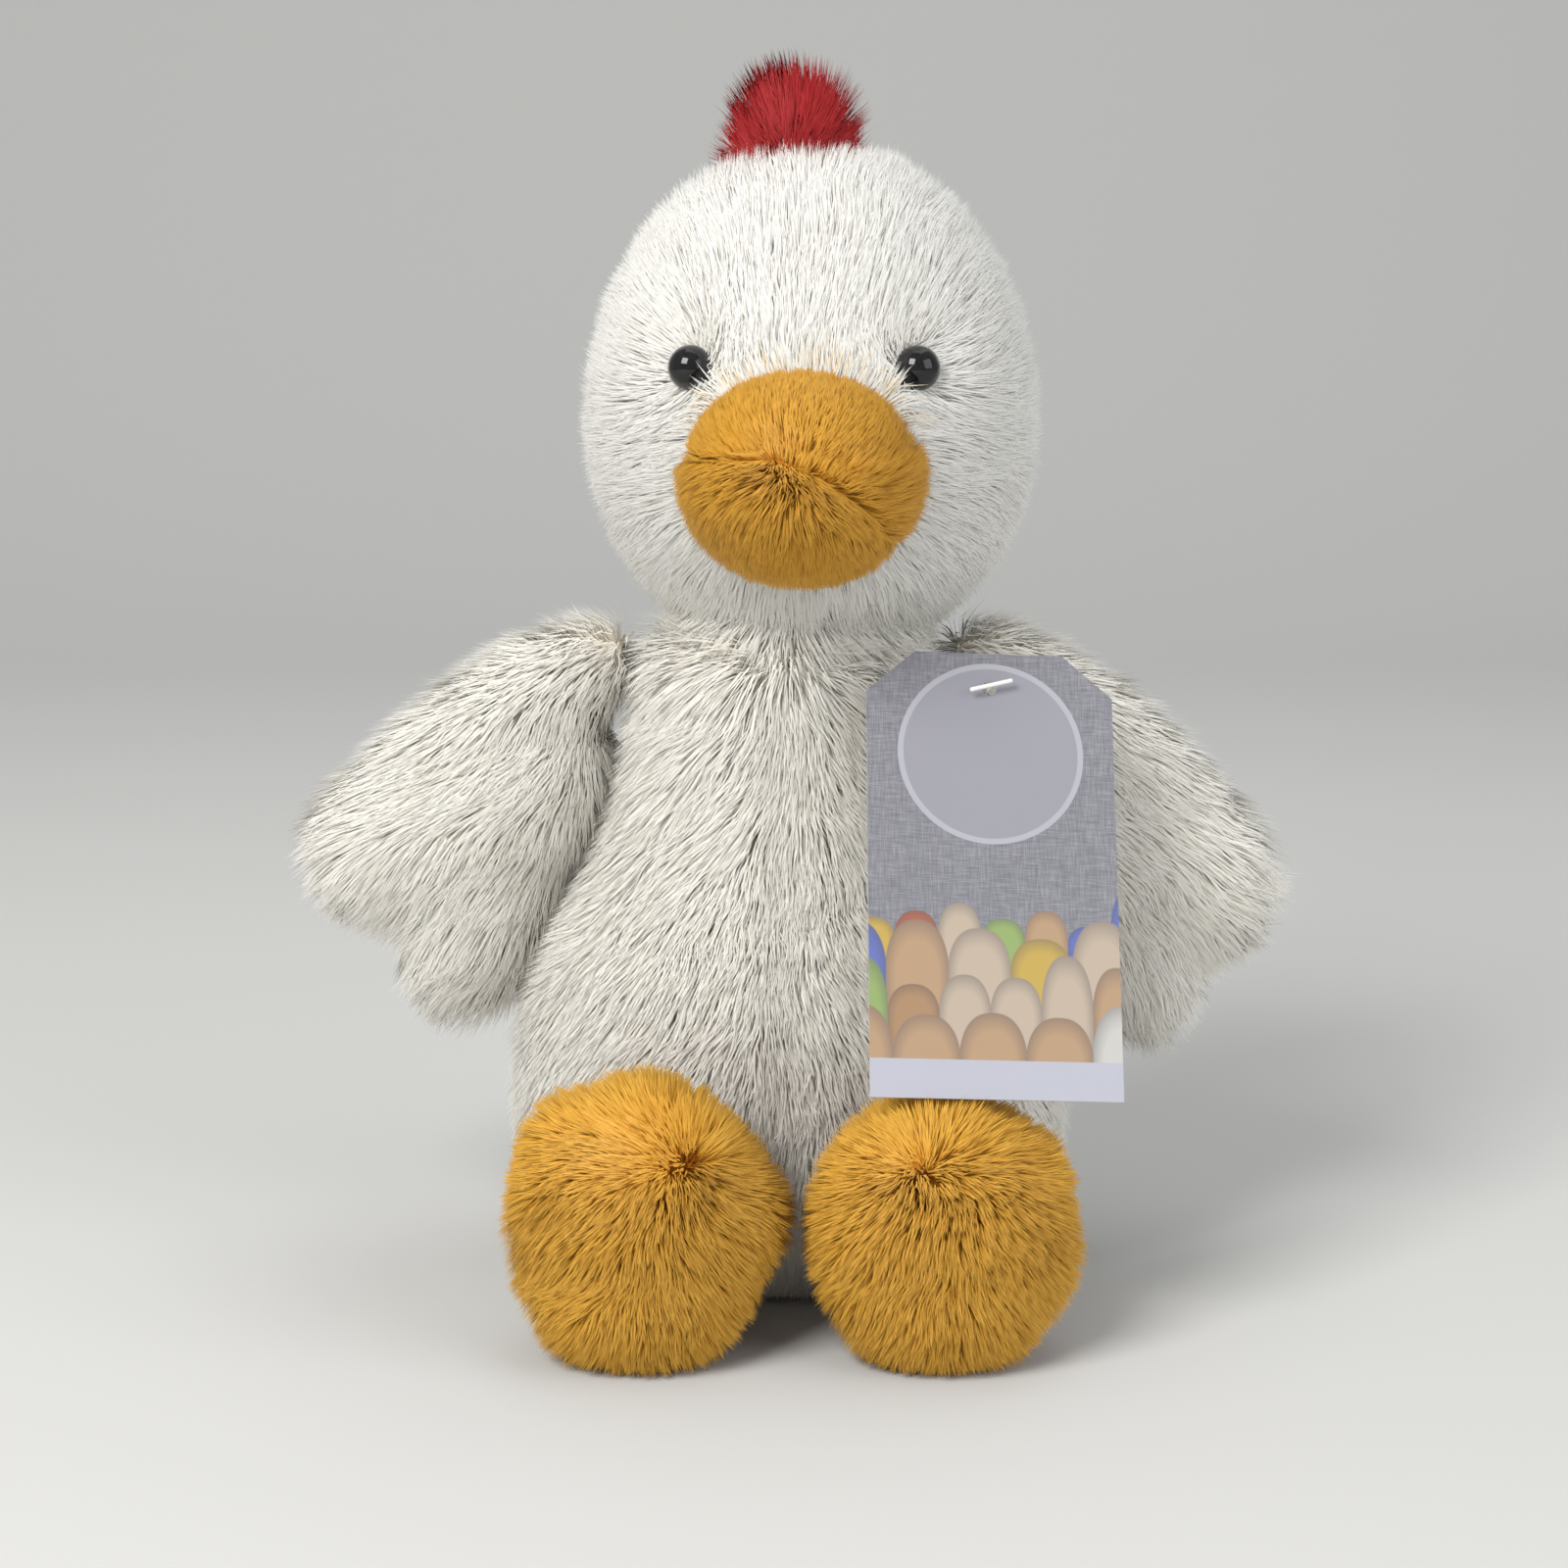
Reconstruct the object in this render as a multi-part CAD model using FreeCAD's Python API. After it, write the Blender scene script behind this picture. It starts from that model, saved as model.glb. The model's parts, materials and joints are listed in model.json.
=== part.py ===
"""Seated plush chicken: furry panels over soft stuffing, bead eyes and a swing tag.

The toy faces -Y and sits on the plane Z = 0.  The origin is the centre of its seat.
Left and right are the toy's own, so its left side is +X.  Every panel is modelled at
its fabric, which lies under the pile.  Sizes are millimetres and angles are degrees.
"""

import FreeCAD, Part
import math
import os

from FreeCAD import Matrix, Placement, Rotation, Vector

# ------------------------------------------------------------------ driving sizes
FABRIC = 2.0                # backing and dense root of the fur fabric
STUFFING_GAP = 0.3          # air between a panel and what fills it
JOINT_GAP = 0.7             # air between pieces that move on each other

BODY_HEIGHT = 147.0         # seat to the neck opening
BELLY_HEIGHT = 44.0         # where the body is widest
SEAT_HALF_WIDTH = 46.0
SEAT_HALF_DEPTH = 38.0
BELLY_HALF_WIDTH = 61.0
BELLY_HALF_DEPTH = 49.0
SHOULDER_HALF_WIDTH = 29.5
SHOULDER_HALF_DEPTH = 28.0
SHOULDER_TAPER = 1.2        # above 1, the body narrows sooner above the belly
BEAN_POUCH_HEIGHT = 24.0

NECK_RADIUS = 22.0
NECK_CENTRE_X = 2.5

HEAD_CENTRE_X = 5.0
HEAD_SEAT = 2.0              # chin above the middle of the neck ball
HEAD_RADIUS = 46.0
HEAD_CROWN = 56.0           # head centre up to the crown
HEAD_CHIN = 46.0            # head centre down to the chin
HEAD_YAW = -3.0             # the face looks a little towards the toy's right

BEAK_HALF_WIDTH = 22.5
BEAK_HALF_HEIGHT = 19.5
BEAK_REACH = 30.0           # beak tip beyond the front of the head
BEAK_HALF_DEPTH = 30.0
BEAK_DROP = 8.5             # beak centre below the head centre
MOUTH_RISE = 2.0            # mouth line above the beak centre

EYE_RADIUS = 5.0
EYE_SPACING = 49.0
EYE_RISE = 14.0             # eye above the head centre
EYE_PROUD = 0.6             # bead centre outside the fabric
EYE_STEM_RADIUS = 2.0
EYE_STEM_LENGTH = 14.0
WASHER_RADIUS = 7.0
WASHER_THICKNESS = 1.5
WASHER_SETBACK = 1.2        # washer behind the inside of the fabric

COMB_CENTRE_X = -4.5        # from the middle of the head
COMB_THICKNESS = 11.0
COMB_LOBES = (              # across the head, lobe radius, lobe centre above the crown
    (-6.0, 5.2, 2.0),
    (0.5, 8.0, 5.5),
    (6.5, 5.2, 0.5),
)
COMB_STEM_HALF_WIDTH = 8.0
COMB_STEM_SINK = 4.0        # stem centre below the crown

SHOULDER_SEAM = 8.0         # wing root outside the shoulder's fabric
SHOULDER_DROP = 1.0         # wing root below the neck opening
WING_SPREAD = {"left": 1.04, "right": 0.97}         # size of each wing against its pattern
WING_DROOP = {"left": 4.0, "right": 0.0}            # further down than its pattern
WING_LAST_LOBE_LIFT = {"left": 6.0, "right": 0.0}   # last lobe up from its pattern
# Each row of the wing pattern: distance and angle down from the wing root to the middle of
# a lobe, the lobe's own angle down, its half length, its half chord, its half thickness.
WING_LOBES = (
    (37.5, 34.5, 34.0, 40.0, 12.5, 11.0),
    (73.0, 41.0, 42.0, 17.0, 16.0, 12.0),
    (52.0, 52.5, 50.0, 33.0, 19.0, 14.0),
    (70.0, 61.5, 71.0, 27.0, 14.5, 12.0),
)

FOOT_SPACING = 65.0
FOOT_HALF_WIDTH = 25.0
FOOT_HALF_HEIGHT = {"left": 26.0, "right": 27.5}
FOOT_HALF_THICKNESS = 19.0
FOOT_CENTRE_Y = -78.0
FOOT_RISE = 1.5             # round of the foot above the table
HEEL_HALF_WIDTH = 20.0      # bulge low on the sole
HEEL_HALF_DEPTH = 13.0
HEEL_HALF_HEIGHT = 15.0
HEEL_REACH = 6.0            # heel centre in front of the foot centre
HEEL_CENTRE_Z = 16.0
TOE_RADIUS = 11.0
TOE_HALF_DEPTH = 11.0
TOE_REACH = {"left": 16.5, "right": 18.5}   # toe centre from the foot centre
TOE_ANGLES = {"left": (-18.0, 33.0, 258.0), "right": (5.0, 85.0, 128.0)}
ANKLE_RADIUS = 11.0
ANKLE_X = 28.0
ANKLE_Z_LOW = 20.0
ANKLE_Z_HIGH = 34.0

TAG_HOLE_OFFSET = Vector(19.670433, -25.863032, 1.0)   # hole from where its fastener leaves the fabric
TAG_WIDTH = 55.0
TAG_TOP = 8.0               # hole centre up to the top edge
TAG_BOTTOM = 92.0           # hole centre down to the bottom edge
TAG_THICKNESS = 0.5
TAG_CHAMFER_WIDTH = 11.0
TAG_CHAMFER_HEIGHT = 9.5
TAG_HOLE_RADIUS = 1.65
TAG_LEAN = 26.0             # bottom edge forward of plumb
TAG_YAW = 8.0
TAG_ROLL = 3.4

FILAMENT_RADIUS = 0.4
BAR_RADIUS = 0.5
BAR_LENGTH = 9.0
BAR_STANDOFF = 2.6          # bar in front of the tag's middle plane
BAR_TILT = 15.0
FILAMENT_BACK = 6.0         # straight filament behind the tag
ANCHOR_ANGLE = 35.0         # round the shoulder, from +X towards the front
ANCHOR_DROP = 8.0            # below the neck opening

# ------------------------------------------------------------------ derived sizes
SPAN = 1000.0
NECK_CENTRE = Vector(NECK_CENTRE_X, 0.0, BODY_HEIGHT + 1.0)
HEAD_CENTRE = Vector(HEAD_CENTRE_X, 0.0, NECK_CENTRE.z + HEAD_SEAT + HEAD_CHIN)
ANCHOR_HEIGHT = BODY_HEIGHT - ANCHOR_DROP
BODY_STATIONS = 11
BELLY_STATION = 4
RING_POINTS = 16
EGG_POINTS = 9
FILLING_INSET = FABRIC + STUFFING_GAP
SIDE_SIGN = {"left": 1.0, "right": -1.0}


# ------------------------------------------------------------------ shared shapes
def ellipsoid(centre, half_sizes, tilt=0.0):
    """Solid ellipsoid, turned about Y by tilt before it is placed."""
    scale = Matrix()
    scale.scale(half_sizes.x, half_sizes.y, half_sizes.z)
    solid = Part.makeSphere(1.0).transformGeometry(scale)
    turn = Rotation(Vector(0, 1, 0), tilt)
    return solid.transformed(Placement(centre, turn).toMatrix())


def ring(height, half_width, half_depth):
    """Closed smooth oval wire, level, at one height."""
    points = []
    for step in range(RING_POINTS):
        turn = 2 * math.pi * step / RING_POINTS
        points.append(Vector(half_width * math.cos(turn), half_depth * math.sin(turn), height))
    curve = Part.BSplineCurve()
    curve.interpolate(points, PeriodicFlag=True)
    return Part.Wire([curve.toShape()])


def block(low, high):
    """Box between two corners."""
    size = high - low
    return Part.makeBox(size.x, size.y, size.z, low)


def above(height):
    """Half space over a level plane."""
    return block(Vector(-SPAN, -SPAN, height), Vector(SPAN, SPAN, SPAN))


def below(height):
    """Half space under a level plane."""
    return block(Vector(-SPAN, -SPAN, -SPAN), Vector(SPAN, SPAN, height))


def in_front(y=0.0):
    """Half space on the face side of a plane across the toy."""
    return block(Vector(-SPAN, -SPAN, -SPAN), Vector(SPAN, y, SPAN))


def behind(y=0.0):
    """Half space on the back side of a plane across the toy."""
    return block(Vector(-SPAN, y, -SPAN), Vector(SPAN, SPAN, SPAN))


def on_side(side):
    """Half space on the toy's left or right."""
    if side == "left":
        return block(Vector(0, -SPAN, -SPAN), Vector(SPAN, SPAN, SPAN))
    return block(Vector(-SPAN, -SPAN, -SPAN), Vector(0, SPAN, SPAN))


def joined(shapes):
    """One solid from shapes that overlap."""
    result = shapes[0]
    for shape in shapes[1:]:
        result = result.fuse(shape)
    return result.removeSplitter()


def neck_ball(clearance):
    """Ball of the neck, grown by a clearance."""
    return Part.makeSphere(NECK_RADIUS + clearance, NECK_CENTRE)


def quarters(shell, name):
    """Four sewn panels of a shell, split by its middle planes."""
    panels = {}
    for row, half in (("front", in_front()), ("back", behind())):
        for side in ("left", "right"):
            panels[f"{name}_{row}_{side}"] = shell.common(half).common(on_side(side))
    return panels


# ------------------------------------------------------------------ body
def body_half_size(height, seat, belly, shoulder):
    """Half width or half depth of the body's outline at one height."""
    if height <= BELLY_HEIGHT:
        rise = 1.0 - height / BELLY_HEIGHT
        return seat + (belly - seat) * math.sqrt(1.0 - rise * rise)
    part = (height - BELLY_HEIGHT) / (BODY_HEIGHT - BELLY_HEIGHT)
    swell = (0.5 + 0.5 * math.cos(math.pi * part)) ** SHOULDER_TAPER
    return shoulder + (belly - shoulder) * swell


def body_half_width(height):
    """Half width of the body's fabric at one height."""
    return body_half_size(height, SEAT_HALF_WIDTH, BELLY_HALF_WIDTH, SHOULDER_HALF_WIDTH)


def body_half_depth(height):
    """Half depth of the body's fabric at one height."""
    return body_half_size(height, SEAT_HALF_DEPTH, BELLY_HALF_DEPTH, SHOULDER_HALF_DEPTH)


def body_solid(inset):
    """Pear-shaped body, drawn in on every side by an inset."""
    wires = []
    for station in range(BODY_STATIONS + 1):
        if station <= BELLY_STATION:
            turn = math.pi / 2 * station / BELLY_STATION
            height = BELLY_HEIGHT * (1.0 - math.cos(turn))
        else:
            part = (station - BELLY_STATION) / (BODY_STATIONS - BELLY_STATION)
            height = BELLY_HEIGHT + (BODY_HEIGHT - BELLY_HEIGHT) * part
        width = body_half_width(height) - inset
        depth = body_half_depth(height) - inset
        wires.append(ring(height, width, depth))
    return Part.makeLoft(wires, True, False)


def make_body():
    """Panels, base, stuffing and bean pouch of the body."""
    outer = body_solid(0.0)
    socket = neck_ball(JOINT_GAP)
    shell = outer.common(above(FABRIC)).cut(body_solid(FABRIC)).cut(socket)
    nodes = quarters(shell, "body")
    nodes["base_panel"] = outer.common(below(FABRIC))
    filling = body_solid(FILLING_INSET)
    pouch_top = BEAN_POUCH_HEIGHT
    nodes["bean_pouch"] = filling.common(above(FILLING_INSET)).common(below(pouch_top))
    nodes["body_stuffing"] = filling.common(above(pouch_top + STUFFING_GAP)).cut(socket)
    nodes["neck_stuffing"] = neck_ball(0.0)
    return nodes


# ------------------------------------------------------------------ head
def egg(inset):
    """Round head about its own centre, taller above its widest line than below."""
    radius = HEAD_RADIUS - inset
    crown = HEAD_CROWN - inset
    chin = HEAD_CHIN - inset
    points = []
    for step in range(-EGG_POINTS, EGG_POINTS + 1):
        turn = math.pi / 2 * step / EGG_POINTS
        reach = crown if turn > 0 else chin
        points.append(Vector(radius * math.cos(turn), 0, reach * math.sin(turn)))
    points[0] = Vector(0, 0, -chin)
    points[-1] = Vector(0, 0, crown)
    curve = Part.BSplineCurve()
    curve.interpolate(points, InitialTangent=Vector(1, 0, 0), FinalTangent=Vector(-1, 0, 0))
    profile = Part.Wire([curve.toShape(), Part.makeLine(points[-1], points[0])])
    return Part.Face(profile).revolve(Vector(0, 0, 0), Vector(0, 0, 1), 360)


def beak_solid(inset):
    """Rounded beak about the head's centre, before the head is taken from it."""
    centre = Vector(0, -(HEAD_RADIUS + BEAK_REACH - BEAK_HALF_DEPTH), -BEAK_DROP)
    size = Vector(BEAK_HALF_WIDTH - inset, BEAK_HALF_DEPTH - inset, BEAK_HALF_HEIGHT - inset)
    return ellipsoid(centre, size)


def comb_solid(inset):
    """Lobes of the comb side by side, flattened front to back."""
    lobes = []
    tallest = max(radius for _, radius, _ in COMB_LOBES)
    for across, radius, rise in COMB_LOBES:
        centre = Vector(COMB_CENTRE_X + across, 0, HEAD_CROWN + rise)
        depth = COMB_THICKNESS / 2 * radius / tallest
        lobes.append(ellipsoid(centre, Vector(radius - inset, depth - inset, radius - inset)))
    stem = Vector(COMB_CENTRE_X, 0, HEAD_CROWN - COMB_STEM_SINK)
    stem_size = Vector(COMB_STEM_HALF_WIDTH, COMB_THICKNESS / 2, tallest)
    lobes.append(ellipsoid(stem, stem_size - Vector(inset, inset, inset)))
    return joined(lobes)


def eye_seat(side):
    """Point on the head's fabric under an eye, and the direction straight out of it."""
    across = SIDE_SIGN[side] * EYE_SPACING / 2
    level_radius = HEAD_RADIUS * math.sqrt(1.0 - (EYE_RISE / HEAD_CROWN) ** 2)
    forward = math.sqrt(level_radius ** 2 - across ** 2)
    point = Vector(across, -forward, EYE_RISE)
    out = Vector(point.x / HEAD_RADIUS ** 2, point.y / HEAD_RADIUS ** 2, point.z / HEAD_CROWN ** 2)
    out.normalize()
    return point, out


def eye_pieces(side):
    """Bead on its stem, the stem's bore, the washer and the room it needs."""
    seat, out = eye_seat(side)
    bead = Part.makeSphere(EYE_RADIUS, seat + out * EYE_PROUD).cut(egg(0.0))
    stem = Part.makeCylinder(EYE_STEM_RADIUS, EYE_STEM_LENGTH + EYE_PROUD,
                             seat - out * EYE_STEM_LENGTH, out)
    washer_back = FABRIC + WASHER_SETBACK + WASHER_THICKNESS
    washer_base = seat - out * washer_back
    disc = Part.makeCylinder(WASHER_RADIUS, WASHER_THICKNESS, washer_base, out)
    washer = disc.cut(stem)
    room = Part.makeCylinder(WASHER_RADIUS + STUFFING_GAP, washer_back + STUFFING_GAP,
                             seat - out * (washer_back + STUFFING_GAP), out)
    stem_room = Part.makeCylinder(EYE_STEM_RADIUS + STUFFING_GAP,
                                  EYE_STEM_LENGTH + STUFFING_GAP,
                                  seat - out * (EYE_STEM_LENGTH + STUFFING_GAP), out)
    return {"eye": joined([bead, stem]), "bore": stem, "washer": washer,
            "room": room.fuse(stem_room)}


def covered(name, outline, filling, split_low, split_high, low_name, high_name):
    """Two covers and their filling from one outline."""
    shell = outline.cut(filling[0])
    return {
        f"{name}_{low_name}": shell.common(split_low),
        f"{name}_{high_name}": shell.common(split_high),
        f"{name}_stuffing": filling[1],
    }


def make_head():
    """Head panels, eyes, beak and comb, in place on the neck."""
    outer = egg(0.0)
    shell = outer.cut(egg(FABRIC))
    filling = egg(FILLING_INSET)
    nodes = {}
    for side in ("left", "right"):
        pieces = eye_pieces(side)
        nodes[f"eye_{side}"] = pieces["eye"]
        nodes[f"eye_washer_{side}"] = pieces["washer"]
        shell = shell.cut(pieces["bore"])
        filling = filling.cut(pieces["room"])
    nodes.update(quarters(shell, "head"))
    nodes["head_stuffing"] = filling
    mouth = MOUTH_RISE - BEAK_DROP
    beak_filling = (beak_solid(FABRIC), beak_solid(FILLING_INSET).cut(outer))
    nodes.update(covered("beak", beak_solid(0.0).cut(outer), beak_filling,
                         below(mouth), above(mouth), "lower", "upper"))
    comb_filling = (comb_solid(FABRIC), comb_solid(FILLING_INSET).cut(outer))
    nodes.update(covered("comb", comb_solid(0.0).cut(outer), comb_filling,
                         in_front(), behind(), "front", "back"))
    place = Placement(HEAD_CENTRE, Rotation(Vector(0, 0, 1), HEAD_YAW)).toMatrix()
    socket = neck_ball(JOINT_GAP)
    for name, piece in nodes.items():
        nodes[name] = piece.transformed(place)
        if name.startswith("head_"):
            nodes[name] = nodes[name].cut(socket)
    return nodes


# ------------------------------------------------------------------ wings
def wing_root(side):
    """Point at the shoulder that a wing turns about."""
    x = SHOULDER_HALF_WIDTH + SHOULDER_SEAM
    return Vector(SIDE_SIGN[side] * x, 0, BODY_HEIGHT - SHOULDER_DROP)


def falling(side, droop):
    """Direction out to one side and down by an angle."""
    turn = math.radians(droop)
    return Vector(SIDE_SIGN[side] * math.cos(turn), 0, -math.sin(turn))


def wing_solid(side, inset):
    """Broad paddle of overlapping lobes, drawn in on every side by an inset."""
    spread = WING_SPREAD[side]
    lobes = []
    for lobe in WING_LOBES:
        distance, below_level, own_droop, half_length, half_chord, half_thickness = lobe
        turn = WING_DROOP[side]
        if lobe == WING_LOBES[-1]:
            turn -= WING_LAST_LOBE_LIFT[side]
        centre = wing_root(side) + falling(side, below_level + turn) * (distance * spread)
        size = Vector(half_length * spread, half_thickness, half_chord * spread)
        size -= Vector(inset, inset, inset)
        lobes.append(ellipsoid(centre, size, SIDE_SIGN[side] * (own_droop + turn)))
    return joined(lobes)


def make_wing(side):
    """Front and back panel of one wing with its stuffing."""
    filling = (wing_solid(side, FABRIC), wing_solid(side, FILLING_INSET))
    return covered(f"wing_{side}", wing_solid(side, 0.0), filling,
                   in_front(), behind(), "front", "back")


# ------------------------------------------------------------------ feet
def ankle_axis(side):
    """Point on the upright line that a foot turns about."""
    reach = math.sqrt(1.0 - (ANKLE_X / BELLY_HALF_WIDTH) ** 2)
    y = -(BELLY_HALF_DEPTH * reach + JOINT_GAP + ANKLE_RADIUS)
    return Vector(SIDE_SIGN[side] * ANKLE_X, y, 0.0)


def foot_solid(side, inset):
    """Round pad with a heel, toes and an upright ankle behind it."""
    drawn_in = Vector(inset, inset, inset)
    half_height = FOOT_HALF_HEIGHT[side]
    x = SIDE_SIGN[side] * FOOT_SPACING / 2
    centre = Vector(x, FOOT_CENTRE_Y, FOOT_RISE + half_height)
    pad_size = Vector(FOOT_HALF_WIDTH, FOOT_HALF_THICKNESS, half_height)
    heel = Vector(x, FOOT_CENTRE_Y - HEEL_REACH, HEEL_CENTRE_Z)
    heel_size = Vector(HEEL_HALF_WIDTH, HEEL_HALF_DEPTH, HEEL_HALF_HEIGHT)
    toe_size = Vector(TOE_RADIUS, TOE_HALF_DEPTH, TOE_RADIUS)
    parts = [ellipsoid(centre, pad_size - drawn_in), ellipsoid(heel, heel_size - drawn_in)]
    for angle in TOE_ANGLES[side]:
        turn = math.radians(angle)
        toe = centre + Vector(math.cos(turn), 0, math.sin(turn)) * TOE_REACH[side]
        parts.append(ellipsoid(toe, toe_size - drawn_in))
    axis = ankle_axis(side)
    radius = ANKLE_RADIUS - inset
    low = Vector(axis.x, axis.y, ANKLE_Z_LOW)
    high = Vector(axis.x, axis.y, ANKLE_Z_HIGH)
    parts.append(Part.makeCylinder(radius, ANKLE_Z_HIGH - ANKLE_Z_LOW, low))
    parts.append(Part.makeSphere(radius, low))
    parts.append(Part.makeSphere(radius, high))
    return joined(parts).common(above(inset))


def make_foot(side):
    """Sole panel, instep panel and stuffing of one foot."""
    filling = (foot_solid(side, FABRIC), foot_solid(side, FILLING_INSET))
    return covered(f"foot_{side}", foot_solid(side, 0.0), filling,
                   in_front(FOOT_CENTRE_Y), behind(FOOT_CENTRE_Y), "sole", "instep")


# ------------------------------------------------------------------ tag and fastener
def tag_placement():
    """From the tag's own frame, hole at the origin and face to -Y, to its place."""
    turn = Rotation(Vector(0, 0, 1), TAG_YAW)
    turn = turn.multiply(Rotation(Vector(1, 0, 0), -TAG_LEAN))
    turn = turn.multiply(Rotation(Vector(0, 1, 0), TAG_ROLL))
    return Placement(anchor_point()[0] + TAG_HOLE_OFFSET, turn)


def make_tag():
    """Card with two cut top corners and a punched hole."""
    half = TAG_WIDTH / 2
    front = -TAG_THICKNESS / 2
    corner_z = TAG_TOP - TAG_CHAMFER_HEIGHT
    outline = [
        Vector(-half, front, -TAG_BOTTOM),
        Vector(half, front, -TAG_BOTTOM),
        Vector(half, front, corner_z),
        Vector(half - TAG_CHAMFER_WIDTH, front, TAG_TOP),
        Vector(TAG_CHAMFER_WIDTH - half, front, TAG_TOP),
        Vector(-half, front, corner_z),
    ]
    card = Part.Face(Part.makePolygon(outline + outline[:1])).extrude(Vector(0, TAG_THICKNESS, 0))
    hole = Part.makeCylinder(TAG_HOLE_RADIUS, 2 * TAG_THICKNESS,
                             Vector(0, -TAG_THICKNESS, 0), Vector(0, 1, 0))
    return {"swing_tag": card.cut(hole).transformed(tag_placement().toMatrix())}


def rod(start, end, radius):
    """Round rod between two points."""
    return Part.makeCylinder(radius, (end - start).Length, start, end - start)


def anchor_point():
    """Point on the body's fabric that the fastener goes through, and the way out of it."""
    turn = math.radians(ANCHOR_ANGLE)
    width = body_half_width(ANCHOR_HEIGHT)
    depth = body_half_depth(ANCHOR_HEIGHT)
    point = Vector(width * math.cos(turn), -depth * math.sin(turn), ANCHOR_HEIGHT)
    out = Vector(math.cos(turn) / width, -math.sin(turn) / depth, 0.0)
    out.normalize()
    return point, out


def make_fastener():
    """Bar in front of the tag and the filament back to the body's fabric."""
    place = tag_placement()
    tilt = math.radians(BAR_TILT)
    half = Vector(math.cos(tilt), 0, math.sin(tilt)) * (BAR_LENGTH / 2)
    bar_middle = Vector(0, -BAR_STANDOFF, 0)
    bend = place.multVec(Vector(0, FILAMENT_BACK, 0))
    point, out = anchor_point()
    end = point + out * (JOINT_GAP + FILAMENT_RADIUS)
    parts = [
        rod(place.multVec(bar_middle - half), place.multVec(bar_middle + half), BAR_RADIUS),
        Part.makeSphere(BAR_RADIUS, place.multVec(bar_middle - half)),
        Part.makeSphere(BAR_RADIUS, place.multVec(bar_middle + half)),
        rod(place.multVec(bar_middle), bend, FILAMENT_RADIUS),
        Part.makeSphere(FILAMENT_RADIUS, bend),
        rod(bend, end, FILAMENT_RADIUS),
        Part.makeSphere(FILAMENT_RADIUS, end),
    ]
    return {"tag_fastener": joined(parts)}


def make_anchor(nodes):
    """Inner bar of the fastener behind the fabric, with room made in the stuffing."""
    point, out = anchor_point()
    middle = point - out * (FILLING_INSET + BAR_RADIUS + STUFFING_GAP)
    up = Vector(0, 0, BAR_LENGTH / 2)
    bar = rod(middle - up, middle + up, BAR_RADIUS)
    neck = rod(middle, point, FILAMENT_RADIUS)
    anchor = joined([bar, neck])
    grown = BAR_RADIUS + STUFFING_GAP
    reach = Vector(0, 0, STUFFING_GAP)
    room = rod(middle - up - reach, middle + up + reach, grown)
    nodes["body_stuffing"] = nodes["body_stuffing"].cut(room).cut(rod(middle, point, grown))
    nodes["body_front_left"] = nodes["body_front_left"].cut(anchor)
    nodes["fastener_anchor"] = anchor.common(body_solid(0.0))


# ------------------------------------------------------------------ whole toy
def make_toy():
    """Every piece of the toy by the name of its node."""
    nodes = make_body()
    nodes.update(make_head())
    for side in ("left", "right"):
        nodes.update(make_wing(side))
        nodes.update(make_foot(side))
    nodes.update(make_tag())
    nodes.update(make_fastener())
    make_anchor(nodes)
    return nodes


def main():
    """Write one STEP file for each piece."""
    os.makedirs("parts", exist_ok=True)
    for name, shape in make_toy().items():
        solids = shape.Solids
        piece = solids[0] if len(solids) == 1 else Part.makeCompound(solids)
        piece.exportStep(f"parts/{name}.step")
        print(f"{name:22s} solids {len(solids)}  valid {piece.isValid()}"
              f"  volume {piece.Volume / 1000:8.2f} cm3")


main()
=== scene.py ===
# %% [markdown]
# # A seated plush chicken, lesson by lesson
# The toy is sewn from long faux fur over soft stuffing. The fixed frame holds its sizes,
# its bodies and its joints. Everything here is made around that frame: first the sewn
# forms, then the pile that covers them, then the eyes, the swing tag and its fastener.

# %% Load the frame
import json
import math

import bmesh
import bpy
import numpy as np
from mathutils import Matrix, Vector, kdtree


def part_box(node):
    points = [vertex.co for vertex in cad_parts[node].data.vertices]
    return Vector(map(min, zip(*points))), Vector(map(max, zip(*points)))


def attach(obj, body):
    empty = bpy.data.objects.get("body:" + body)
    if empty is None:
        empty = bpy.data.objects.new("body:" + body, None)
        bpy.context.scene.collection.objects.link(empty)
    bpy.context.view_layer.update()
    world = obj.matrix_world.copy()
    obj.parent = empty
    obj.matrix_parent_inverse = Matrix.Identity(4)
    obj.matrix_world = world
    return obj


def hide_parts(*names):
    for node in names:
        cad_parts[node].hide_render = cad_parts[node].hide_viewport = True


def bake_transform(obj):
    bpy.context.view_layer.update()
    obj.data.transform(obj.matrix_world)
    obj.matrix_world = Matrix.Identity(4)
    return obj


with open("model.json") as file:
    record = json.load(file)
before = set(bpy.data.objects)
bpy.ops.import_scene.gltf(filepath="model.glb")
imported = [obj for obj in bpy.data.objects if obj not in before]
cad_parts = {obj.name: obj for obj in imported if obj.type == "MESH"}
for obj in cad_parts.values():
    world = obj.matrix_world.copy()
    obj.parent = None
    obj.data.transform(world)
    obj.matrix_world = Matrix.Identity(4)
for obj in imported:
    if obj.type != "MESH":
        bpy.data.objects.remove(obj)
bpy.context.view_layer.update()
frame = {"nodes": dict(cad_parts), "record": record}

MM = 0.001
TINY = 1e-9                 # keeps a division from meeting zero
SIDES = {"left": 1, "right": -1}

# %% [markdown]
# ## Camera, floor and light
# The camera stands at about the height of the toy's crown and looks down a little. A long
# lens keeps the feet from growing too large. A big soft lamp from the upper left models the
# roundness, and a weaker one fills the right side.

# %% Camera
CAMERA_PLACE = Vector((-1.3, -770.0, 247.0)) * MM
CAMERA_DOWN = math.radians(10.0)
FILM_WIDTH = 36.0           # millimetres, as the focal length
FOCAL_LENGTH = 76.5

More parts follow.
